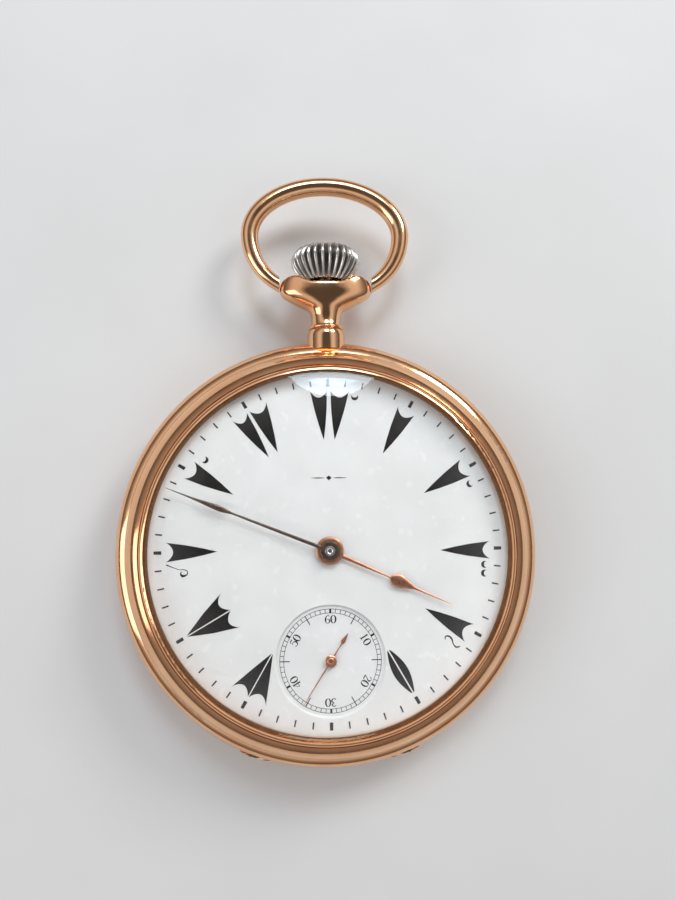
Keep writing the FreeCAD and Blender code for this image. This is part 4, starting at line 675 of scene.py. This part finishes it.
def split_dart(ink_on, hour, outward, gap=0.13):
    """A pair of wings either side of a white line, point in or point out."""
    place = on_dial(hour / 12)
    point, wide = (MARK_OUTER + 0.05, 13.65) if outward else (13.8, MARK_OUTER)
    for hand in (-1, 1):
        near, far = hand * gap / 2, hand * 2.3
        corners = [(wide, near), (wide + (0.0 if outward else -0.1), far)]
        turn = 1 if (hand > 0) != outward else -1
        edge = scallop(corners[0], corners[1], 0.9 * turn)
        mid = ((point + wide) / 2, hand * (1.32 if outward else 1.24))
        ink_on.patch([(point, near), *edge, mid], place)


def make_dial_print():
    """Hour darts, minute ticks and the small ornament below 12."""
    on = Print(DIAL_TOP)
    dart(on, 12, -0.56, -2.2, -0.12)
    dart(on, 12, 0.77, 0.32, 2.62)
    crescent(on, 12, 18.85, 3.3)
    dart(on, 11, -0.62, -2.2, -0.2)
    dart(on, 11, 0.6, 0.15, 2.5)
    dart(on, 10, 0.15, -1.05, 1.3)
    crescent(on, 10, 18.6, 2.1, 0.36)
    dart(on, 9, 0.07, -1.1, 1.2)
    on.stroke([(19.45, -1.42, 0.16), (18.6, -1.75, 0.09), (17.9, -2.0, 0.07),
               (17.35, -2.0, 0.1), (16.95, -2.2, 0.1), (17.0, -2.6, 0.14),
               (17.5, -2.75, 0.3), (17.75, -2.45, 0.14), (17.6, -2.25, 0.1)],
              on_dial(9 / 12))
    split_dart(on, 8, True)
    split_dart(on, 7, False)
    for hand in (-1, 1):
        lens = [(13.5 + 6.25 * k / 16, hand * (0.08 + 0.85 * math.sin(math.pi * k / 16)))
                for k in range(17)]
        core = [(19.5 - 5.8 * k / 16, hand * 0.08) for k in range(17)]
        on.patch([*lens[1:-1], *core], on_dial(5 / 12))
    dart(on, 4, 0.4, -0.8, 1.55)
    on.stroke([(17.3, 2.45, 0.1), (17.15, 2.15, 0.14), (17.5, 1.9, 0.2), (18.0, 2.05, 0.2),
               (18.4, 2.45, 0.12), (18.9, 2.6, 0.18), (19.25, 2.3, 0.12)], on_dial(4 / 12))
    dart(on, 3, 0.15, -0.85, 1.25)
    crescent(on, 3, 18.95, 1.95, 0.36)
    crescent(on, 3, 18.9, 3.0, 0.36)
    dart(on, 2, -0.07, -1.3, 1.05)
    crescent(on, 2, 19.05, 1.85, 0.36)
    dart(on, 1, -0.07, -1.25, 1.05)
    for minute in range(60):
        hour_mark = minute % 5 == 0
        half, wide = (0.46, 0.42) if hour_mark else (0.41, 0.19)
        on.stroke([(TICK_RADIUS - half, 0, wide), (TICK_RADIUS + half, 0, wide * 0.9)],
                  on_dial(minute / 60))
    middle, high, across = on_dial(0), 0.3, 0.35
    on.patch([(ORNAMENT_RADIUS + high, 0), (ORNAMENT_RADIUS, across),
              (ORNAMENT_RADIUS - high, 0), (ORNAMENT_RADIUS, -across)], middle)
    for hand in (-1, 1):
        on.stroke([(ORNAMENT_RADIUS, hand * 0.55, 0.05), (ORNAMENT_RADIUS, hand * 1.3, 0.13),
                   (ORNAMENT_RADIUS, hand * 2.2, 0.03)], middle)
    on.solid.build("dial_printing", INK.material, "case", smooth=0)


# Pen strokes of (sideways, height, width) for digits one unit high.
DIGITS = {
    "0": [[(0.3 + 0.24 * math.sin(t), 0.5 + 0.47 * math.cos(t),
            0.035 + 0.11 * abs(math.sin(t))) for t in
           (2 * math.pi * k / 16 for k in range(17))]],
    "1": [[(0.3, 0.02, 0.12), (0.3, 1.0, 0.12)], [(0.12, 0.02, 0.04), (0.48, 0.02, 0.04)],
          [(0.3, 0.98, 0.05), (0.14, 0.84, 0.04)]],
    "2": [[(0.08, 0.74, 0.1), (0.14, 0.92, 0.05), (0.3, 0.98, 0.05), (0.48, 0.84, 0.12),
           (0.44, 0.62, 0.1), (0.24, 0.34, 0.05), (0.08, 0.06, 0.04)],
          [(0.08, 0.08, 0.05), (0.3, 0.08, 0.12), (0.5, 0.06, 0.06), (0.55, 0.24, 0.04)]],
    "3": [[(0.1, 0.84, 0.09), (0.28, 0.98, 0.05), (0.46, 0.82, 0.12), (0.42, 0.62, 0.07),
           (0.26, 0.54, 0.04)],
          [(0.26, 0.54, 0.04), (0.46, 0.44, 0.08), (0.52, 0.24, 0.13), (0.34, 0.02, 0.05),
           (0.1, 0.12, 0.09)]],
    "4": [[(0.42, 0.02, 0.12), (0.42, 1.0, 0.12)], [(0.42, 1.0, 0.04), (0.04, 0.3, 0.05)],
          [(0.04, 0.3, 0.05), (0.58, 0.3, 0.05)], [(0.28, 0.02, 0.04), (0.56, 0.02, 0.04)]],
    "5": [[(0.5, 0.95, 0.1), (0.16, 0.95, 0.08)], [(0.14, 0.97, 0.04), (0.12, 0.55, 0.04)],
          [(0.12, 0.55, 0.04), (0.3, 0.64, 0.05), (0.52, 0.42, 0.12), (0.48, 0.14, 0.11),
           (0.28, 0.02, 0.05), (0.08, 0.14, 0.09)]],
    "6": [[(0.5, 0.88, 0.08), (0.34, 0.98, 0.05), (0.13, 0.72, 0.11), (0.09, 0.34, 0.12),
           (0.2, 0.05, 0.06), (0.4, 0.04, 0.06), (0.52, 0.28, 0.12), (0.42, 0.5, 0.06),
           (0.22, 0.5, 0.04), (0.13, 0.36, 0.04)]],
}


def make_seconds_print():
    """The seconds track, its long marks and its numerals."""
    on = Print(SECONDS_TOP)
    outer, inner = SECONDS_RADIUS - 0.35, SECONDS_RADIUS - 0.82
    low, high = on.top - PRINT_SINK, on.top + PRINT_RAISE
    line, steps = 0.03, 120
    for radius in (outer, inner):
        on.solid.rings([[(SECONDS_AT[0] + (radius + w) * math.sin(2 * math.pi * k / steps),
                          SECONDS_AT[1] + (radius + w) * math.cos(2 * math.pi * k / steps), z)
                         for w, z in ((-line, low), (line, low), (line, high), (-line, high))]
                        for k in range(steps)], closed=True)
    for second in range(60):
        place = on_dial(second / 60, SECONDS_AT)
        if second % 10 == 0:
            on.stroke([(inner, 0, 0.24), (outer, 0, 0.24)], place)
        elif second % 5 == 0:
            on.stroke([(inner - 0.72, 0, 0.11), (outer, 0, 0.11)], place)
        else:
            on.stroke([(inner, 0, 0.07), (outer, 0, 0.07)], place)
    tall, wide, clear = 0.96, 0.70, 0.26
    base = inner - clear - tall
    for second in range(0, 60, 10):
        place = on_dial(second / 60, SECONDS_AT)
        for n, digit in enumerate(str(second or 60)):
            shift = (n - 1) * wide + 0.02
            for strokes in DIGITS[digit]:
                on.stroke([(base + y * tall, shift + x * 1.15, w * 1.25) for x, y, w in
                           strokes], place)
    on.solid.build("seconds_printing", INK.material, "case", smooth=0)


# ---- stage --------------------------------------------------------------------------------


def make_floor():
    """A pale, faintly mottled table under the watch."""
    look = Look("pale_floor", Specular_IOR_Level=0.25)
    look.set("Base Color", look.ramp(look.noise(30.0), (0.3, (0.80, 0.79, 0.775)),
                                     (0.7, (0.84, 0.835, 0.825))))
    look.set("Roughness", look.ramp(look.noise(12.0), (0.3, 0.6), (0.7, 0.75)))
    look.bump(look.noise(1.2), 0.1, 0.02)
    mesh = bpy.data.meshes.new("floor")
    work = bmesh.new()
    bmesh.ops.create_grid(work, x_segments=8, y_segments=8, size=0.7)
    work.to_mesh(mesh)
    work.free()
    floor = bpy.data.objects.new("floor", mesh)
    floor.location.z = CAD_BOX[0].z - 0.02 * MM
    mesh.materials.append(look.material)
    bpy.context.scene.collection.objects.link(floor)


def area_light(name, at, target, width, height, power, colour):
    """A soft rectangular lamp that looks at a target."""
    lamp = bpy.data.lights.new(name, "AREA")
    lamp.shape, lamp.size, lamp.size_y = "RECTANGLE", width, height
    lamp.energy, lamp.color = power, colour
    made = bpy.data.objects.new(name, lamp)
    made.location = at
    made.rotation_euler = (Vector(target) - Vector(at)).to_track_quat("-Z", "Y").to_euler()
    bpy.context.scene.collection.objects.link(made)
    return made


def make_lights():
    """A pale sky, dark at the horizon and overhead, a key, a fill and a window's glint."""
    world = bpy.data.worlds.new("studio")
    bpy.context.scene.world = world
    world.use_nodes = True
    tree = world.node_tree
    coords = tree.nodes.new("ShaderNodeTexCoord")
    split = tree.nodes.new("ShaderNodeSeparateXYZ")
    ramp = tree.nodes.new("ShaderNodeValToRGB")
    tree.links.new(coords.outputs["Generated"], split.inputs[0])
    tree.links.new(split.outputs["Z"], ramp.inputs[0])
    tree.links.new(ramp.outputs[0], tree.nodes["Background"].inputs["Color"])
    stops = ramp.color_ramp.elements
    stops[0].position, stops[0].color = 0.05, (0.16, 0.13, 0.13, 1)
    stops[1].position, stops[1].color = 0.91, (0.13, 0.125, 0.125, 1)
    for place, shade in ((0.4, (0.42, 0.39, 0.39, 1)), (0.64, (0.98, 0.97, 0.97, 1)),
                         (0.80, (0.98, 0.98, 1.0, 1))):
        stops.new(place).color = shade
    tree.nodes["Background"].inputs["Strength"].default_value = 0.74
    bpy.context.scene.view_settings.view_transform = "Standard"
    area_light("key", (0.30, 0.34, 0.30), (0, 0, 0), 0.16, 0.16, 1.0, (1.0, 0.97, 0.93))
    area_light("fill", (-0.42, -0.08, 0.26), (0, 0, 0), 0.25, 0.30, 0.5, (0.97, 0.97, 1.0))
    tilt, reach = math.radians(40), 0.4
    window = area_light("window", (0.02, 0.02 + reach * math.sin(tilt),
                                   0.01 + reach * math.cos(tilt)),
                        (0, 0.02, 0.01), 0.15, 0.13, 0.42, (0.72, 0.88, 1.0))
    window.data.shape = "ELLIPSE"


def make_camera():
    """Close above the dial, a little off its axis and a little tilted."""
    turn = Vector((5.52, -2.94, -0.57))
    place = Matrix.Translation(Vector((-3.18, 4.24, 91.7)) * MM)
    data = bpy.data.cameras.new("camera")
    data.lens, data.sensor_width = 27.04, 36.0
    data.clip_start, data.clip_end = 0.002, 10.0
    camera = bpy.data.objects.new("camera", data)
    camera.matrix_world = place @ Matrix.Rotation(
        math.radians(turn.length), 4, turn.normalized())
    bpy.context.scene.collection.objects.link(camera)
    bpy.context.scene.camera = camera


make_crown()
make_bow()
make_pendant()
make_crystal()
make_hands()
make_dial_print()
make_seconds_print()
make_floor()
make_lights()
make_camera()
